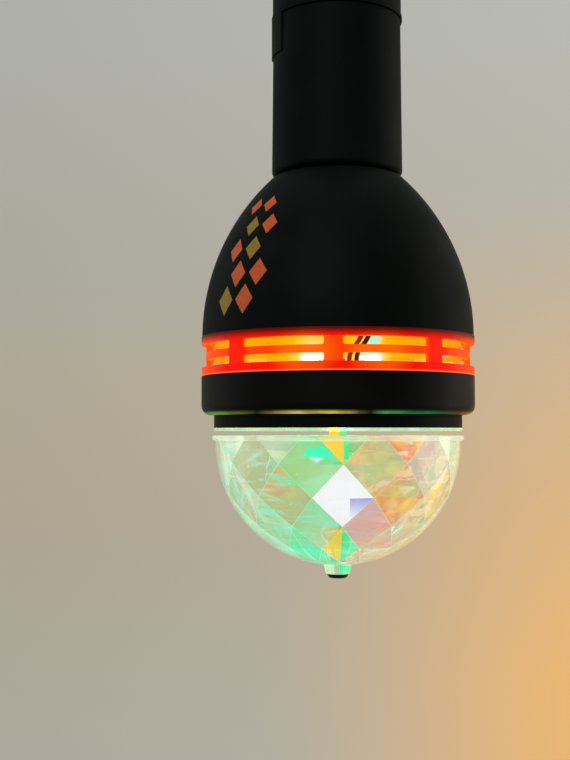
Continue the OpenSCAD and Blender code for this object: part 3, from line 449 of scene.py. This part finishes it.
def painted_glow_acrylic(name, colour, glow, strength, roughness):
    """Clear acrylic that carries light: half clear, its edge given a painted glow in patches for what runs
    through it, and a painted image of the spindle's yellow and green flanks at the middle."""
    material, put, place = new_material(name)
    parts = put("SeparateXYZ", {"Vector": place}).outputs
    streak = put("TexNoise", {"Vector": place, "Scale": 1 / (9 * MM), "Detail": 2.0})
    level = put("MapRange", {
        "Value": streak, "From Min": 0.3, "From Max": 0.7, "To Min": strength * 0.7, "To Max": strength * 1.2})
    patch = put("TexNoise", {"Vector": place, "Scale": 1 / (6 * MM), "Detail": 3.0})
    tone = put("ValToRGB", {"Fac": patch}, stops=[
        (0.36, "#f0fff0"), (0.44, glow), (0.54, glow), (0.6, "#14d2a0"), (0.68, "#8caa64")])
    aside = put("Math", {0: parts["X"]}, operation="ABSOLUTE")
    painted_spindle_image = put("MapRange", {
        "Value": aside, "From Min": 2.1 * MM, "From Max": 2.5 * MM, "To Min": 0.85, "To Max": 0.0})
    flank = put("MapRange", {"Value": parts["X"], "From Min": -2.4 * MM, "From Max": 2.4 * MM})
    flank_tone = put("ValToRGB", {"Fac": flank}, stops=[
        (0.0, "#ffd200"), (0.55, "#ffd200"), (0.65, "#96e63c"), (0.75, "#1ee6aa"), (1.0, "#1ee6aa")])
    seen = put("Mix", {0: painted_spindle_image, 6: tone, 7: flank_tone}, data_type="RGBA")
    brightest = put("Math", {0: level, 1: painted_spindle_image}, operation="MAXIMUM")
    soft_edge = put("Bevel", {"Radius": 0.15 * MM}, samples=4)
    shader = put("BsdfPrincipled", {
        "Base Color": linear(colour), "Roughness": roughness, "IOR": 1.49, "Transmission Weight": 0.7,
        "Normal": soft_edge, "Emission Color": seen, "Emission Strength": brightest})
    put("OutputMaterial", {"Surface": shader})
    return material


# White solder mask: smooth warm white, tracks just showing.
white_mask = solder_mask("white_solder_mask", "#e9e6dd", "#d9d3c4", 0.35, 3.0)
clear_lens = painted_glow_acrylic("clear_acrylic_lens_lit", "#d2e6cd", "#b4dca0", 0.3, 0.1)
finish_as(clear_lens, "lens_plastic", "cover_lens")
finish_as(white_mask, "white_board", "led_board")
finish_as(lit_led("red_LED_lit", "#8c3c30", "#ff3a20", 0.85), "led_red", "red_led")
finish_as(lit_led("green_LED_lit", "#468c50", "#30ff50", 0.85), "led_green", "green_led")
finish_as(lit_led("blue_LED_lit", "#46508c", "#3050ff", 0.85), "led_blue", "blue_led")
finish_as(zinc_steel, "steel", "led_screws")

# Drive
# A small can motor with a brass pinion turns an idler and the output gear between two steel plates;
# the output gear carries the hollow spindle that the dome hangs on.
# Acetal: milky white, slippery satin.
acetal = moulded_plastic("white_acetal", "#ece9e0", "#dfdacd", 0.35, 0.8, edge_mm=0.08, relief=0.06)
# Sintered ferrite: charcoal grey, matt and slightly gritty.
ferrite = moulded_plastic("sintered_ferrite", "#2b2a2c", "#363437", 0.6, 0.3, edge_mm=0.1, relief=0.25)
# Nylon: off-white satin, duller than the acetal.
nylon = moulded_plastic("white_nylon_end_cap", "#dcd8cc", "#cfc9b9", 0.45, 0.7, edge_mm=0.1)
# Enamelled copper wire: red-brown, half bright.
copper = plated_metal("enamelled_copper", "#b5673a", "#94502c", 0.3, 0.3)
finish_as(zinc_steel, "steel", "gear_plate", "top_plate", "plate_spacers", "plate_screws", "motor_can",
          "idler_pin")
finish_as(nylon, "motor_plastic", "motor_end_cap")
finish_as(ferrite, "ferrite", "motor_magnets")
finish_as(copper, "copper", "motor_rotor")
finish_as(brass, "brass", "motor_pinion", "spindle_bush")
finish_as(acetal, "gear_plastic", "idler_gear", "output_gear")

lit_half_w, dim_z, bright_z = 2.6 * MM, -160 * MM, -144 * MM


def painted_light_spindle(name):
    """White acetal shaft between the LEDs, their light painted on: one side painted yellow for the red and
    green, the other green, and painted shade dims it away from them."""
    material, put, place = new_material(name)
    parts = put("SeparateXYZ", {"Vector": place}).outputs
    side = put("MapRange", {"Value": parts["X"], "From Min": -lit_half_w, "From Max": lit_half_w})
    tone = put("ValToRGB", {"Fac": side}, stops=[
        (0.0, "#ffc800"), (0.5, "#ffd20a"), (0.6, "#78e664"), (1.0, "#1edc8c")])
    painted_led_light = put("MapRange", {
        "Value": parts["Z"], "From Min": dim_z, "From Max": bright_z, "To Min": 0.12, "To Max": 0.85})
    soft_edge = put("Bevel", {"Radius": 0.15 * MM}, samples=4)
    shader = put("BsdfPrincipled", {
        "Base Color": linear("#7d7b70"), "Roughness": 0.35, "Normal": soft_edge,
        "Emission Color": tone, "Emission Strength": painted_led_light})
    put("OutputMaterial", {"Surface": shader})
    return material


finish_as(painted_light_spindle("white_acetal_spindle_lit"), "spindle_plastic", "spindle")

# Crystal dome
# A clear acrylic bowl, smooth outside and moulded inside in twelve-sided rings of triangular facets, with a
# plain rim, a hub for the spindle and a small nub for the screw. Each facet throws another colour, painted on
# it as light that it gives off, and a painted glow in the wall stands for the light it carries to its edges.
dome_low, dome_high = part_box("crystal_dome")
flange_t, flange_over, skirt_h, dome_wall = 1.4 * MM, 0.9 * MM, 0.6 * MM, 1.3 * MM
flange_r, flange_top_z, nub_z = dome_high.x, dome_high.z, dome_low.z
flange_z = flange_top_z - flange_t
dome_r = flange_r - flange_over
ball_z = flange_z - skirt_h
pole_z = ball_z - dome_r
dome_in_r = dome_r - dome_wall
floor_z = ball_z - dome_in_r
hub_r, hub_h = 4.6 * MM, 5 * MM
facets, facet_turn = 12, math.radians(2.6)
half_facet = math.pi / facets
first_lat, lat_step, last_lat, dome_rings = 9.0, 15.5, 86, 6
facet_edge, least_facet, front_row = 0.07 * MM, 4 * MM * MM, 2
# The front lozenge is split where a corner of it takes a painted lilac glint.
glint_x = 3.2 * MM
glint_z = ball_z - dome_in_r * math.sin(math.radians(first_lat + lat_step)) - 0.4 * MM
facet_list = []


def turned(name, profile, steps):
    """A closed profile of (radius, height) turned round the axis; radius 0 closes on the axis."""
    form = bmesh.new()
    rings = []
    for radius, z in profile:
        if radius < 1e-7:
            rings.append([form.verts.new((0, 0, z))] * steps)
        else:
            rings.append([form.verts.new((radius * math.cos(2 * math.pi * k / steps),
                                          radius * math.sin(2 * math.pi * k / steps), z))
                          for k in range(steps)])
    for a, b in zip(rings, rings[1:] + rings[:1]):
        for k in range(steps):
            n = (k + 1) % steps
            corners = list(dict.fromkeys([a[k], a[n], b[n], b[k]]))
            if len(corners) > 2:
                form.faces.new(corners)
    return make_piece(name, form)


def split(form, panes, spot, across):
    """Splits facets along a plane, so that each side can take its own colour."""
    edges = dict.fromkeys(edge for pane in panes for edge in pane.edges)
    corners = dict.fromkeys(corner for pane in panes for corner in pane.verts)
    bmesh.ops.bisect_plane(form, geom=[*panes, *edges, *corners], plane_co=spot, plane_no=across)


def front_panes(form):
    """The facets in front, without the narrow bevels between them."""
    return [(f, f.calc_center_median()) for f in form.faces
            if f.calc_center_median().y < 0 and f.calc_area() > least_facet]


def faceted_hollow(name):
    """Rings of points, each turned half a facet from the last, joined by triangles that pair up as lozenges.
    Each goes into facet_list: its normal, row, turn in half facets, and if it is the lower half."""
    form = bmesh.new()
    rings = []
    for k in range(dome_rings + 1):
        lat = math.radians(min(first_lat + lat_step * (k - 1), last_lat))
        angles = [facet_turn + 2 * half_facet * (j + (k - 1) / 2) for j in range(facets)]
        rings.append([form.verts.new((dome_in_r * math.cos(lat) * math.sin(angle),
                                      -dome_in_r * math.cos(lat) * math.cos(angle),
                                      ball_z - dome_in_r * math.sin(lat))) for angle in angles])
    for k, (upper, lower) in enumerate(zip(rings, rings[1:])):
        for j in range(facets):
            n = (j + 1) % facets
            for corners, row in [([upper[j], upper[n], lower[j]], k), ([upper[n], lower[n], lower[j]], k + 1)]:
                face = form.faces.new(corners)
                face.normal_update()
                out = face.calc_center_median() - Vector((0, 0, ball_z))
                normal = face.normal * (1 if face.normal.dot(out) > 0 else -1)
                base = (corners[0].co + corners[1].co) if row == k else (corners[1].co + corners[2].co)
                turn = (math.atan2(base.x, -base.y) - facet_turn) / half_facet
                facet_list.append((normal.copy(), row, round(turn), row == k))
    form.faces.new(rings[0])
    form.faces.new(rings[-1])
    bmesh.ops.recalc_face_normals(form, faces=form.faces)
    slanted = [e for e in form.edges if abs(e.verts[0].co.z - e.verts[1].co.z) > 0.5 * MM]
    bmesh.ops.bevel(form, geom=slanted, offset=facet_edge, segments=1, affect="EDGES", profile=0.5)
    split(form, [pane for pane, middle in front_panes(form)], (0, 0, ball_z),
          (math.cos(facet_turn), math.sin(facet_turn), 0))
    for spot, across in [((glint_x, 0, 0), (1, 0, 0)), ((0, 0, glint_z), (-0.15, 0, 1))]:
        split(form, [pane for pane, middle in front_panes(form)
                     if abs(middle.x) < 6 * MM and abs(middle.z - glint_z) < 7 * MM], spot, across)
    return make_piece(name, form)


def solids_joined(base, *steps):
    """Joins or cuts solids in turn and leaves one smooth-shaded mesh on the first."""
    for operation, tool in steps:
        step = base.modifiers.new("solid", "BOOLEAN")
        step.operation = operation
        step.solver = "EXACT"
        step.object = tool
    graph = bpy.context.evaluated_depsgraph_get()
    mesh = bpy.data.meshes.new_from_object(base.evaluated_get(graph))
    base.modifiers.clear()
    base.data = mesh
    base.data.name = base.name
    base.data.shade_smooth()
    base.data.materials.clear()
    for operation, tool in steps:
        bpy.data.objects.remove(tool)
    return base


rim_round, sunk, past = 0.35 * MM, 0.3 * MM, 1 * MM
nub_top_z, hub_top_z = pole_z + 0.6 * MM, floor_z + hub_h
bore_r, bore_z, screw_hole_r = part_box("spindle")[1].x + 0.05 * MM, floor_z + 1.2 * MM, 1.3 * MM
arc = [math.radians(lat) for lat in range(87, -1, -3)]
skin = turned("crystal_dome_faceted", [(0, pole_z)] + [
    (dome_r * math.cos(lat), ball_z - dome_r * math.sin(lat)) for lat in arc] + [
    (dome_r, flange_z), (flange_r - rim_round, flange_z), (flange_r, flange_z + rim_round),
    (flange_r, flange_top_z - rim_round), (flange_r - rim_round, flange_top_z), (0, flange_top_z)], 120)
nub_r, nub_edge_r, nub_root_r, nub_edge_h = 3.4 * MM, 3.6 * MM, 4.3 * MM, 0.25 * MM
nub = turned("nub", [(0, nub_z), (nub_r, nub_z), (nub_edge_r, nub_z + nub_edge_h), (nub_root_r, nub_top_z),
                     (0, nub_top_z)], 64)
hub = turned("hub", [(0, floor_z - sunk), (hub_r, floor_z - sunk), (hub_r, hub_top_z), (0, hub_top_z)], 64)
bore = turned("bore", [(0, nub_z - past), (screw_hole_r, nub_z - past), (screw_hole_r, bore_z),
                       (bore_r, bore_z), (bore_r, hub_top_z + past), (0, hub_top_z + past)], 64)
dome = solids_joined(skin, ("UNION", nub), ("DIFFERENCE", faceted_hollow("hollow")), ("UNION", hub),
                     ("DIFFERENCE", bore))
dome.data.set_sharp_from_angle(angle=math.radians(5))

# The colours of painted light, each with the share of a facet that it fills.
white, lilac, lemon, lime, teal, mint, olive, orange, amber, tan, mauve, cream, grey = (
    Vector(linear(colour, fill)) for colour, fill in [
        ("#f4f4f8", 0.96), ("#a0a8e8", 0.9), ("#ffcd00", 0.92), ("#3ce05a", 0.75), ("#00f5aa", 0.85),
        ("#82e6b4", 0.5), ("#a0b450", 0.42), ("#ff7d23", 0.68), ("#ffb432", 0.6), ("#e6aa50", 0.5),
        ("#d296b4", 0.5), ("#e6f0c8", 0.36), ("#a5b496", 0.25)])
unlit_skin = Vector(linear("#82e6b4", 0.0))
# For each row down from the rim: the painted light colours of the lozenges beside the front, above and
# below their waist, and of those farther round, first on the left of the axis, then on the right of it.
painted_light_left = [
    ((cream, mint), (cream, mint), cream),
    ((olive.lerp(cream, 0.5), teal.lerp(olive, 0.4)), (olive.lerp(cream, 0.2), mint.lerp(cream, 0.8)), grey),
    ((tan, olive), (olive, olive), grey),
    ((olive, mint), (mint, tan), mint),
    ((teal, mint), (teal, teal), mint)]
painted_light_right = [
    ((orange, orange), (orange, orange), cream),
    ((amber, olive.lerp(amber, 0.4)), (olive.lerp(mauve, 0.15), tan.lerp(orange, 0.35)), grey),
    ((tan.lerp(orange, 0.6), tan.lerp(mauve, 0.4)), (orange, orange), tan),
    ((mauve, mauve), (mauve, mauve.lerp(tan, 0.4)), grey),
    ((grey, mauve), (grey, cream), grey)]
painted_back_colours = [mint, grey, tan, teal.lerp(grey, 0.4), olive, mauve, grey]
lowest_row = len(painted_light_left) - 1


def painted_light_colour(row, turn, below, across):
    """The painted light on a facet, with its share of the facet as alpha; across is how far along its lozenge.
    Turns go round in half facets. Painted white in front, painted images of the spindle's yellow and green
    flanks above and below it."""
    if row == front_row and turn == 0:
        return white
    if turn == 0 and row in (0, lowest_row):
        low = row == lowest_row
        if across < 0:
            return lemon.lerp(lime, max(0, 0.25 + 0.5 * across) if low else 0)
        return lime.lerp(teal, min(1, 0.7 + across)) if low else teal.lerp(olive, min(1, 2 * across))
    near, low_near, far = (painted_light_left if turn < 0 else painted_light_right)[min(row, lowest_row)]
    if abs(turn) > 5:
        return painted_back_colours[(2 * row + turn // 2) % len(painted_back_colours)]
    if abs(turn) > 2:
        return far.lerp(cream, 0.2 * (abs(turn) - 3))
    first, last = low_near if below else near
    return first.lerp(last, min(1, max(0, (across + 1) / 2)))


# Each face takes its painted light as a colour attribute: facets their colour, the narrow bevels between them
# and the rim painted highlights, the nub painted cream and teal light, the outer skin none.
painted_light_tint = dome.data.color_attributes.new("painted_light_tint", "FLOAT_COLOR", "CORNER")
split_side, lilac_fade, front_y = 0.02, 2.5 * MM, -15 * MM
for face in dome.data.polygons:
    middle = face.center
    out = middle - Vector((0, 0, ball_z))
    inside = dome_in_r * 0.96 < out.length < dome_in_r + 0.02 * MM and face.normal.dot(out) < 0
    normal, row, turn, lower = max(facet_list, key=lambda f: -f[0].dot(face.normal))
    flat = inside and -normal.dot(face.normal) > 0.99995
    rim = middle.z > flange_z - 0.05 * MM and out.xy.length > dome_r
    for corner in face.loop_indices:
        spot = dome.data.vertices[dome.data.loops[corner].vertex_index].co
        if flat:
            side = (math.atan2(spot.x, -spot.y) - facet_turn) / half_facet
            if turn == 0 and abs(side) < split_side:
                side = split_side if math.atan2(middle.x, -middle.y) > facet_turn else -split_side
            colour = painted_light_colour(row, turn, lower, side - turn)
            # A painted lilac glint in the lower right corner of the front lozenge.
            if row == front_row and turn == 0 and middle.x > glint_x and middle.z < glint_z:
                colour = white.lerp(lilac, min(1, max(0, (spot.z - glint_z) / lilac_fade + 0.9)))
        elif inside:
            colour = cream.lerp(white, 0.2 if middle.y < front_y else 0.8)
        elif rim:
            colour = cream.lerp(white, 0.4 if abs(face.normal.z) > 0.05 else 0.15)
        elif middle.z < pole_z:
            colour = cream.lerp(teal, 0.8 if spot.x > 0.5 * MM else 0.2)
        else:
            colour = unlit_skin
        painted_light_tint.data[corner].color = colour

# A painted reflection of the lit LEDs in the upper facets: a flat teal patch with a white core, ragged by a
# warp.
image_warp, image_flatness = Vector((4 * MM, 0, 2 * MM)), 1.7
led_image, led_core = (
    Vector((x * MM + image_warp.x / 2, 0, image_flatness * (flange_top_z - drop * MM + image_warp.z / 2)))
    for x, drop in [(-5.0, 4.6), (-5.6, 6.3)])
hair_gap, hair_length = 1.3 * MM, 12 * MM
mark_fill, painted_wall_glow = 0.7, 32.0


def painted_light_crystal(name):
    """Clear cast acrylic, polished: each facet part clear, part filled with painted light in the colour cast
    on it, mottled, with painted reflections as streaks along the rings, blots, flecks, and hair lines down the
    sides, all drawn coarser than the real reflections, so that they show, and a painted glow inside the wall."""
    material, put, place = new_material(name)
    parts = put("SeparateXYZ", {"Vector": place}).outputs
    colour = put("VertexColor", layer_name="painted_light_tint")
    fill = colour.outputs["Alpha"]
    cloud = put("TexNoise", {"Vector": place, "Scale": 1 / (7 * MM), "Detail": 3.0, "Distortion": 0.4})
    # A facet that is nearly filled stays even, and one that is more clear varies in hue and level.
    clear_share = put("MapRange", {
        "Value": fill, "From Min": 0.75, "From Max": 0.92, "To Min": 1.0, "To Max": 0.1})
    varied = []
    for steady, spread in [(0.5, 0.05), (1.0, 0.2)]:
        least, most = [put("MapRange", {"Value": clear_share, "To Min": steady, "To Max": end})
                       for end in (steady - spread, steady + spread)]
        varied.append(put("MapRange", {
            "Value": cloud, "From Min": 0.3, "From Max": 0.7, "To Min": least, "To Max": most}))
    hue, level = varied
    tone = put("HueSaturation", {"Hue": hue, "Saturation": 1.2, "Value": level, "Color": colour})
    across = put("MapRange", {"Value": parts["X"], "From Min": -20 * MM, "From Max": 20 * MM})
    marks = []
    for size_mm, turn, detail, distortion, start, end, most, stops in [
            ((10, 10, 1.1), (0.3, 0.25, 0), 2.0, 0.3, 0.55, 0.72, 0.8, [
                (0.0, "#dcfae1"), (0.25, "#1ef0b4"), (0.5, "#82f58c"), (0.6, "#ffd278"), (0.8, "#ffa050"),
                (1.0, "#ebdcaa")]),
            ((7, 7, 3), (0, 0, 0), 3.0, 0.5, 0.57, 0.63, 0.9, [
                (0.0, "#7df0c8"), (0.2, "#00f0aa"), (0.5, "#0af0a0"), (0.56, "#ffb464"), (0.8, "#ff8c32"),
                (1.0, "#ffdcb4")])]:
        lie = put("Mapping", {
            "Vector": place, "Rotation": turn, "Scale": [1 / (size * MM) for size in size_mm]})
        streak = put("TexNoise", {"Vector": lie, "Scale": 1.0, "Detail": detail, "Distortion": distortion})
        shown = put("MapRange", {"Value": streak, "From Min": start, "From Max": end, "To Max": most})
        marks.append(put("Math", {0: shown, 1: clear_share}, operation="MULTIPLY"))
        streak_tone = put("ValToRGB", {"Fac": across}, stops=stops)
        tone = put("Mix", {0: marks[-1], 6: tone, 7: streak_tone}, data_type="RGBA")
    round_axis = put("Math", {0: parts["X"], 1: parts["Y"]}, operation="ARCTAN2")
    along, down = [put("Math", {0: value, 1: pitch}, operation="MULTIPLY")
                   for value, pitch in [(round_axis, dome_r / hair_gap), (parts["Z"], 1 / hair_length)]]
    down_side = put("CombineXYZ", {"X": along, "Y": down})
    hair = put("TexNoise", {"Vector": down_side, "Scale": 1.0, "Detail": 2.0, "Distortion": 0.4})
    hair_line = put("MapRange", {"Value": hair, "From Min": 0.58, "From Max": 0.66, "To Max": 0.65})
    side_on = put("MapRange", {"Value": parts["Y"], "From Min": -24 * MM, "From Max": -12 * MM})
    marks.append(put("Math", {0: hair_line, 1: side_on}, operation="MULTIPLY"))
    hair_tone = put("ValToRGB", {"Fac": cloud}, stops=[
        (0.36, "#1ef0c8"), (0.45, "#e6ffe6"), (0.55, "#ffffeb"), (0.64, "#ffb4a0")])
    tone = put("Mix", {0: marks[-1], 6: tone, 7: hair_tone}, data_type="RGBA")
    warp = put("TexNoise", {"Vector": place, "Scale": 1 / (2.2 * MM), "Detail": 2.0})
    bent = put("VectorMath", {0: warp.outputs["Color"], 1: image_warp, 2: place}, operation="MULTIPLY_ADD")
    front_on = put("VectorMath", {0: bent, 1: (1, 0, image_flatness)}, operation="MULTIPLY")
    images = []
    for spot, inner_mm, outer_mm, image_tone in [
            (led_image, 2.8, 3.6, "#00f5b9"), (led_core, 0.3, 1.8, "#e1f0ff")]:
        away = put("VectorMath", {0: front_on, 1: spot}, operation="DISTANCE")
        near = put("MapRange", {
            "Value": away, "From Min": inner_mm * MM, "From Max": outer_mm * MM,
            "To Min": clear_share, "To Max": 0.0})
        images.append(put("Math", {0: near, 1: side_on}, operation="SUBTRACT", use_clamp=True))
        tone = put("Mix", {0: images[-1], 6: tone, 7: linear(image_tone)}, data_type="RGBA")
    # Painted sparkle: small white flecks.
    painted_sparkle_dots = put("TexVoronoi", {"Vector": place, "Scale": 1 / (3.2 * MM)})
    marks.append(put("MapRange", {
        "Value": painted_sparkle_dots, "From Min": 0.03, "From Max": 0.07, "To Min": 0.8, "To Max": 0.0}))
    tone = put("Mix", {0: marks[-1], 6: tone, 7: linear("#ffffff")}, data_type="RGBA")
    # Marks fill the facet under them, the images wholly and the others in part, and the outside stays clear.
    marked = marks[0]
    for mark in marks[1:]:
        marked = put("Math", {0: marked, 1: mark}, operation="MAXIMUM")
    marked = put("Math", {0: marked, 1: mark_fill}, operation="MULTIPLY")
    for image in images:
        marked = put("Math", {0: marked, 1: image}, operation="MAXIMUM")
    facet_only = put("MapRange", {"Value": fill, "From Min": 0.05, "From Max": 0.2})
    mark_share = put("Math", {0: marked, 1: facet_only}, operation="MULTIPLY")
    filled = put("Math", {0: fill, 1: mark_share}, operation="MAXIMUM")
    ripple = put("Bump", {"Height": cloud, "Strength": 0.05, "Distance": 0.3 * MM})
    clear = put("BsdfPrincipled", {
        "Base Color": linear("#fbfdfb"), "Roughness": 0.01, "IOR": 1.49, "Transmission Weight": 1.0,
        "Normal": ripple})
    painted_facet_light = put("Emission", {"Color": tone, "Strength": 1.0})
    shader = put("MixShader", {"Fac": filled, 1: clear, 2: painted_facet_light})
    # A painted glow inside the wall.
    painted_wall_light = put("Emission", {"Color": linear("#e6ffd7"), "Strength": painted_wall_glow})
    put("OutputMaterial", {"Surface": shader, "Volume": painted_wall_light})
    return material


dome.data.materials.append(painted_light_crystal("clear_acrylic_crystal_lit"))
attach(dome, "dome")
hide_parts("crystal_dome")

# Dome screw
# A cross-recess pan-head screw of black-oxide steel, put in from below through the nub into the spindle.
# Black oxide: oily dark grey, with turning marks.
black_oxide = plated_metal("black_oxide_steel", "#2a2a2c", "#1c1c1d", 0.38, 0.3)
screw_low, screw_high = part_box("dome_screw")
head_r, head_round, shank_r, tip_chamfer = 3.1 * MM, 1.1 * MM, 0.98 * MM, 0.4 * MM
recess_length, recess_width, recess_depth = 3.2 * MM, 0.8 * MM, 1.2 * MM
head_arc = [(head_r - head_round + head_round * math.sin(math.radians(a)),
             nub_z - (nub_z - screw_low.z) * math.cos(math.radians(a))) for a in range(0, 91, 15)]
head = turned("dome_screw_pan", [(0, screw_low.z)] + head_arc + [
    (shank_r, nub_z), (shank_r, screw_high.z - tip_chamfer), (shank_r - tip_chamfer, screw_high.z),
    (0, screw_high.z)], 48)


def recess_bar(name, length, width):
    """One bar of the cross recess, narrower towards its floor."""
    form = bmesh.new()
    bmesh.ops.create_cube(form, size=1)
    for v in form.verts:
        taper = 1 if v.co.z < 0 else 0.6
        v.co = Vector((v.co.x * length * taper, v.co.y * width * taper,
                       screw_low.z + (v.co.z + 0.3) * recess_depth))
    return make_piece(name, form)


screw = solids_joined(head, ("DIFFERENCE", recess_bar("recess_a", recess_length, recess_width)),
                      ("DIFFERENCE", recess_bar("recess_b", recess_width, recess_length)))
screw.data.set_sharp_from_angle(angle=math.radians(35))
screw.data.materials.append(black_oxide)
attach(screw, "dome")
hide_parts("dome_screw")

# Driver and leads
# A round green board with its mains parts, screwed under the housing's bosses; PVC leads go up to the
# screw base and down to the lights.
# Green solder mask: glossy green, lighter along the tracks.
green_mask = solder_mask("green_solder_mask", "#2c6a3c", "#3d8450", 0.3, 2.5)
# Shrunk PVC sleeve: blue-black and glossy.
sleeve_black = moulded_plastic("capacitor_PVC_sleeve", "#1d2230", "#262c3a", 0.3, 1.5, relief=0.03)
# Polyester tape: clear yellow, glossy and smooth.
polyester_tape = moulded_plastic("yellow_polyester_tape", "#d8be32", "#c6a92a", 0.28, 2.0, relief=0.04)
# Dipped epoxy: brick red, glossy, with round edges.
epoxy_red = moulded_plastic("red_dipped_epoxy", "#8e2c1c", "#7c2416", 0.25, 1.2, edge_mm=0.6, relief=0.06)
# Moulded epoxy: dull black.
epoxy_black = moulded_plastic("black_moulded_epoxy", "#161616", "#1f1f1f", 0.45, 0.5)
finish_as(green_mask, "green_board", "driver_board")
finish_as(zinc_steel, "steel", "driver_screws")
finish_as(sleeve_black, "capacitor_sleeve", "smoothing_capacitor")
finish_as(polyester_tape, "yellow_tape", "transformer")
finish_as(epoxy_red, "red_epoxy", "film_capacitor")
finish_as(epoxy_black, "black_epoxy", "rectifier")
# Extruded PVC: even colour, waxy satin.
for lead, slot, colour, worn in [
        ("live_wire", "brown_insulation", "#5a3420", "#4c2b1a"),
        ("neutral_wire", "blue_insulation", "#2c5aa0", "#264e8c"),
        ("red_lead", "red_insulation", "#b01c14", "#9c1810"),
        ("black_lead", "black_insulation", "#121212", "#1a1a1a")]:
    finish_as(moulded_plastic("PVC_" + slot, colour, worn, 0.35, 0.8, relief=0.04), slot, lead)

# Stage
# A seamless pale sweep of paper under and behind the hanging lamp, in metres. Matt paper with slow changes
# of tone, with a painted pool of warm lamp light low on the right and painted light a little brighter
# towards the right.
stage_z, stage_front_y, back_y, back_top_z, half_width, bend = -0.75, -1.6, 0.55, 1.4, 2.2, 0.35
bend_y, bend_z = back_y - bend, stage_z + bend
sweep = bmesh.new()
path = [(stage_front_y, stage_z), (bend_y, stage_z)]
path += [(bend_y + bend * math.sin(math.radians(a)), bend_z - bend * math.cos(math.radians(a)))
         for a in range(6, 91, 6)]
path += [(back_y, back_top_z)]
rows = [[sweep.verts.new((x, y, z)) for x in (-half_width, half_width)] for y, z in path]
for a, b in zip(rows, rows[1:]):
    sweep.faces.new([a[0], a[1], b[1], b[0]])
backdrop = make_piece("paper_sweep", sweep)
backdrop.data.shade_smooth()
paper, put, paper_place = new_material("pale_paper")
paper_spot = put("SeparateXYZ", {"Vector": paper_place}).outputs
rise = put("MapRange", {"Value": paper_spot["Z"], "From Min": -0.39, "From Max": 0.2})
paper_tone = put("ValToRGB", {"Fac": rise}, stops=[
    (0.0, "#b6b3a6"), (0.3, "#b7ae9c"), (0.5, "#b9b19f"), (0.62, "#b4b1a6"), (1.0, "#b6b8b1")])
# A painted pool of warm lamp light, low on the right.
warm_side = put("MapRange", {"Value": paper_spot["X"], "From Min": -0.08, "From Max": 0.22},
                interpolation_type="SMOOTHSTEP")
warm_below = put("MapRange", {"Value": paper_spot["Z"], "From Min": 0.05, "From Max": -0.33})
warm_back = put("MapRange", {"Value": paper_spot["Y"], "From Min": bend_y, "From Max": back_y})
painted_warm_light_share = warm_side
for limit in (warm_below, warm_back):
    painted_warm_light_share = put("Math", {0: painted_warm_light_share, 1: limit}, operation="MULTIPLY")
paper_colour = put("Mix", {0: painted_warm_light_share, 6: paper_tone, 7: linear("#eab672")}, data_type="RGBA")
paper_matt = put("BsdfPrincipled", {"Base Color": paper_colour, "Roughness": 0.95, "Specular IOR Level": 0.1})
# Painted light: the paper a little brighter towards the right.
painted_paper_light = put("MapRange", {
    "Value": paper_spot["X"], "From Min": -0.25, "From Max": 0.25, "To Min": 0.9, "To Max": 1.08})
paper_seen = put("Emission", {"Color": paper_colour, "Strength": painted_paper_light})
ray = put("LightPath").outputs
seen = ray["Is Camera Ray"]
for other in ("Is Glossy Ray", "Is Transmission Ray"):
    seen = put("Math", {0: seen, 1: ray[other]}, operation="MAXIMUM")
seen_share = put("Math", {0: seen, 1: 0.82}, operation="MULTIPLY")
paper_mix = put("MixShader", {"Fac": seen_share, 1: paper_matt, 2: paper_seen})
put("OutputMaterial", {"Surface": paper_mix})
backdrop.data.materials.append(paper)

# Light
# Soft boxes: a strong one in front and above, weaker ones a little behind the lamp on each side and overhead,
# and a small warm one low on the right, over an even surround. None of them shows through the clear dome,
# and the warm one isn't mirrored in it.
aim = Vector((0, 0, -0.1))
for name, place, size, power, colour in [
        ("soft_left", (-0.85, 0.25, 0.05), 1.2, 2.2, (0.94, 1.0, 0.97)),
        ("soft_right", (0.85, 0.25, 0.0), 1.2, 5, (1.0, 0.97, 0.9)),
        ("soft_top", (0.0, 0.2, 1.0), 1.0, 3, (1.0, 1.0, 1.0)),
        ("soft_front", (-0.3, -1.0, 0.6), 1.2, 11, (1.0, 1.0, 1.0)),
        ("warm_low", (0.55, 0.25, -0.3), 0.4, 1.2, (1.0, 0.72, 0.36))]:
    lamp = bpy.data.lights.new(name, "AREA")
    lamp.shape = "DISK"
    lamp.size = size
    lamp.energy = power
    lamp.color = colour
    box = bpy.data.objects.new(name, lamp)
    box.location = place
    box.rotation_euler = (aim - Vector(place)).to_track_quat("-Z", "Y").to_euler()
    box.visible_transmission = False
    box.visible_glossy = name != "warm_low"
    bpy.context.scene.collection.objects.link(box)
world = bpy.data.worlds.new("even_surround")
bpy.context.scene.world = world
world.use_nodes = True
surround = world.node_tree.nodes["Background"]
surround.inputs["Color"].default_value = linear("#d9d9d4")
surround.inputs["Strength"].default_value = 0.55
bpy.context.scene.view_settings.view_transform = "Standard"

# Camera
# Level with the lower part of the lamp, close, turned a little to the left.
lens = bpy.data.cameras.new("photo_camera")
lens.sensor_width = 36
lens.lens = 54.6
lens.clip_start = 0.01
camera = bpy.data.objects.new("photo_camera", lens)
camera.location = (0.0, -0.340, -0.1415)
camera.rotation_euler = (math.radians(92.5), 0, math.radians(2.607))
bpy.context.scene.collection.objects.link(camera)
bpy.context.scene.camera = camera
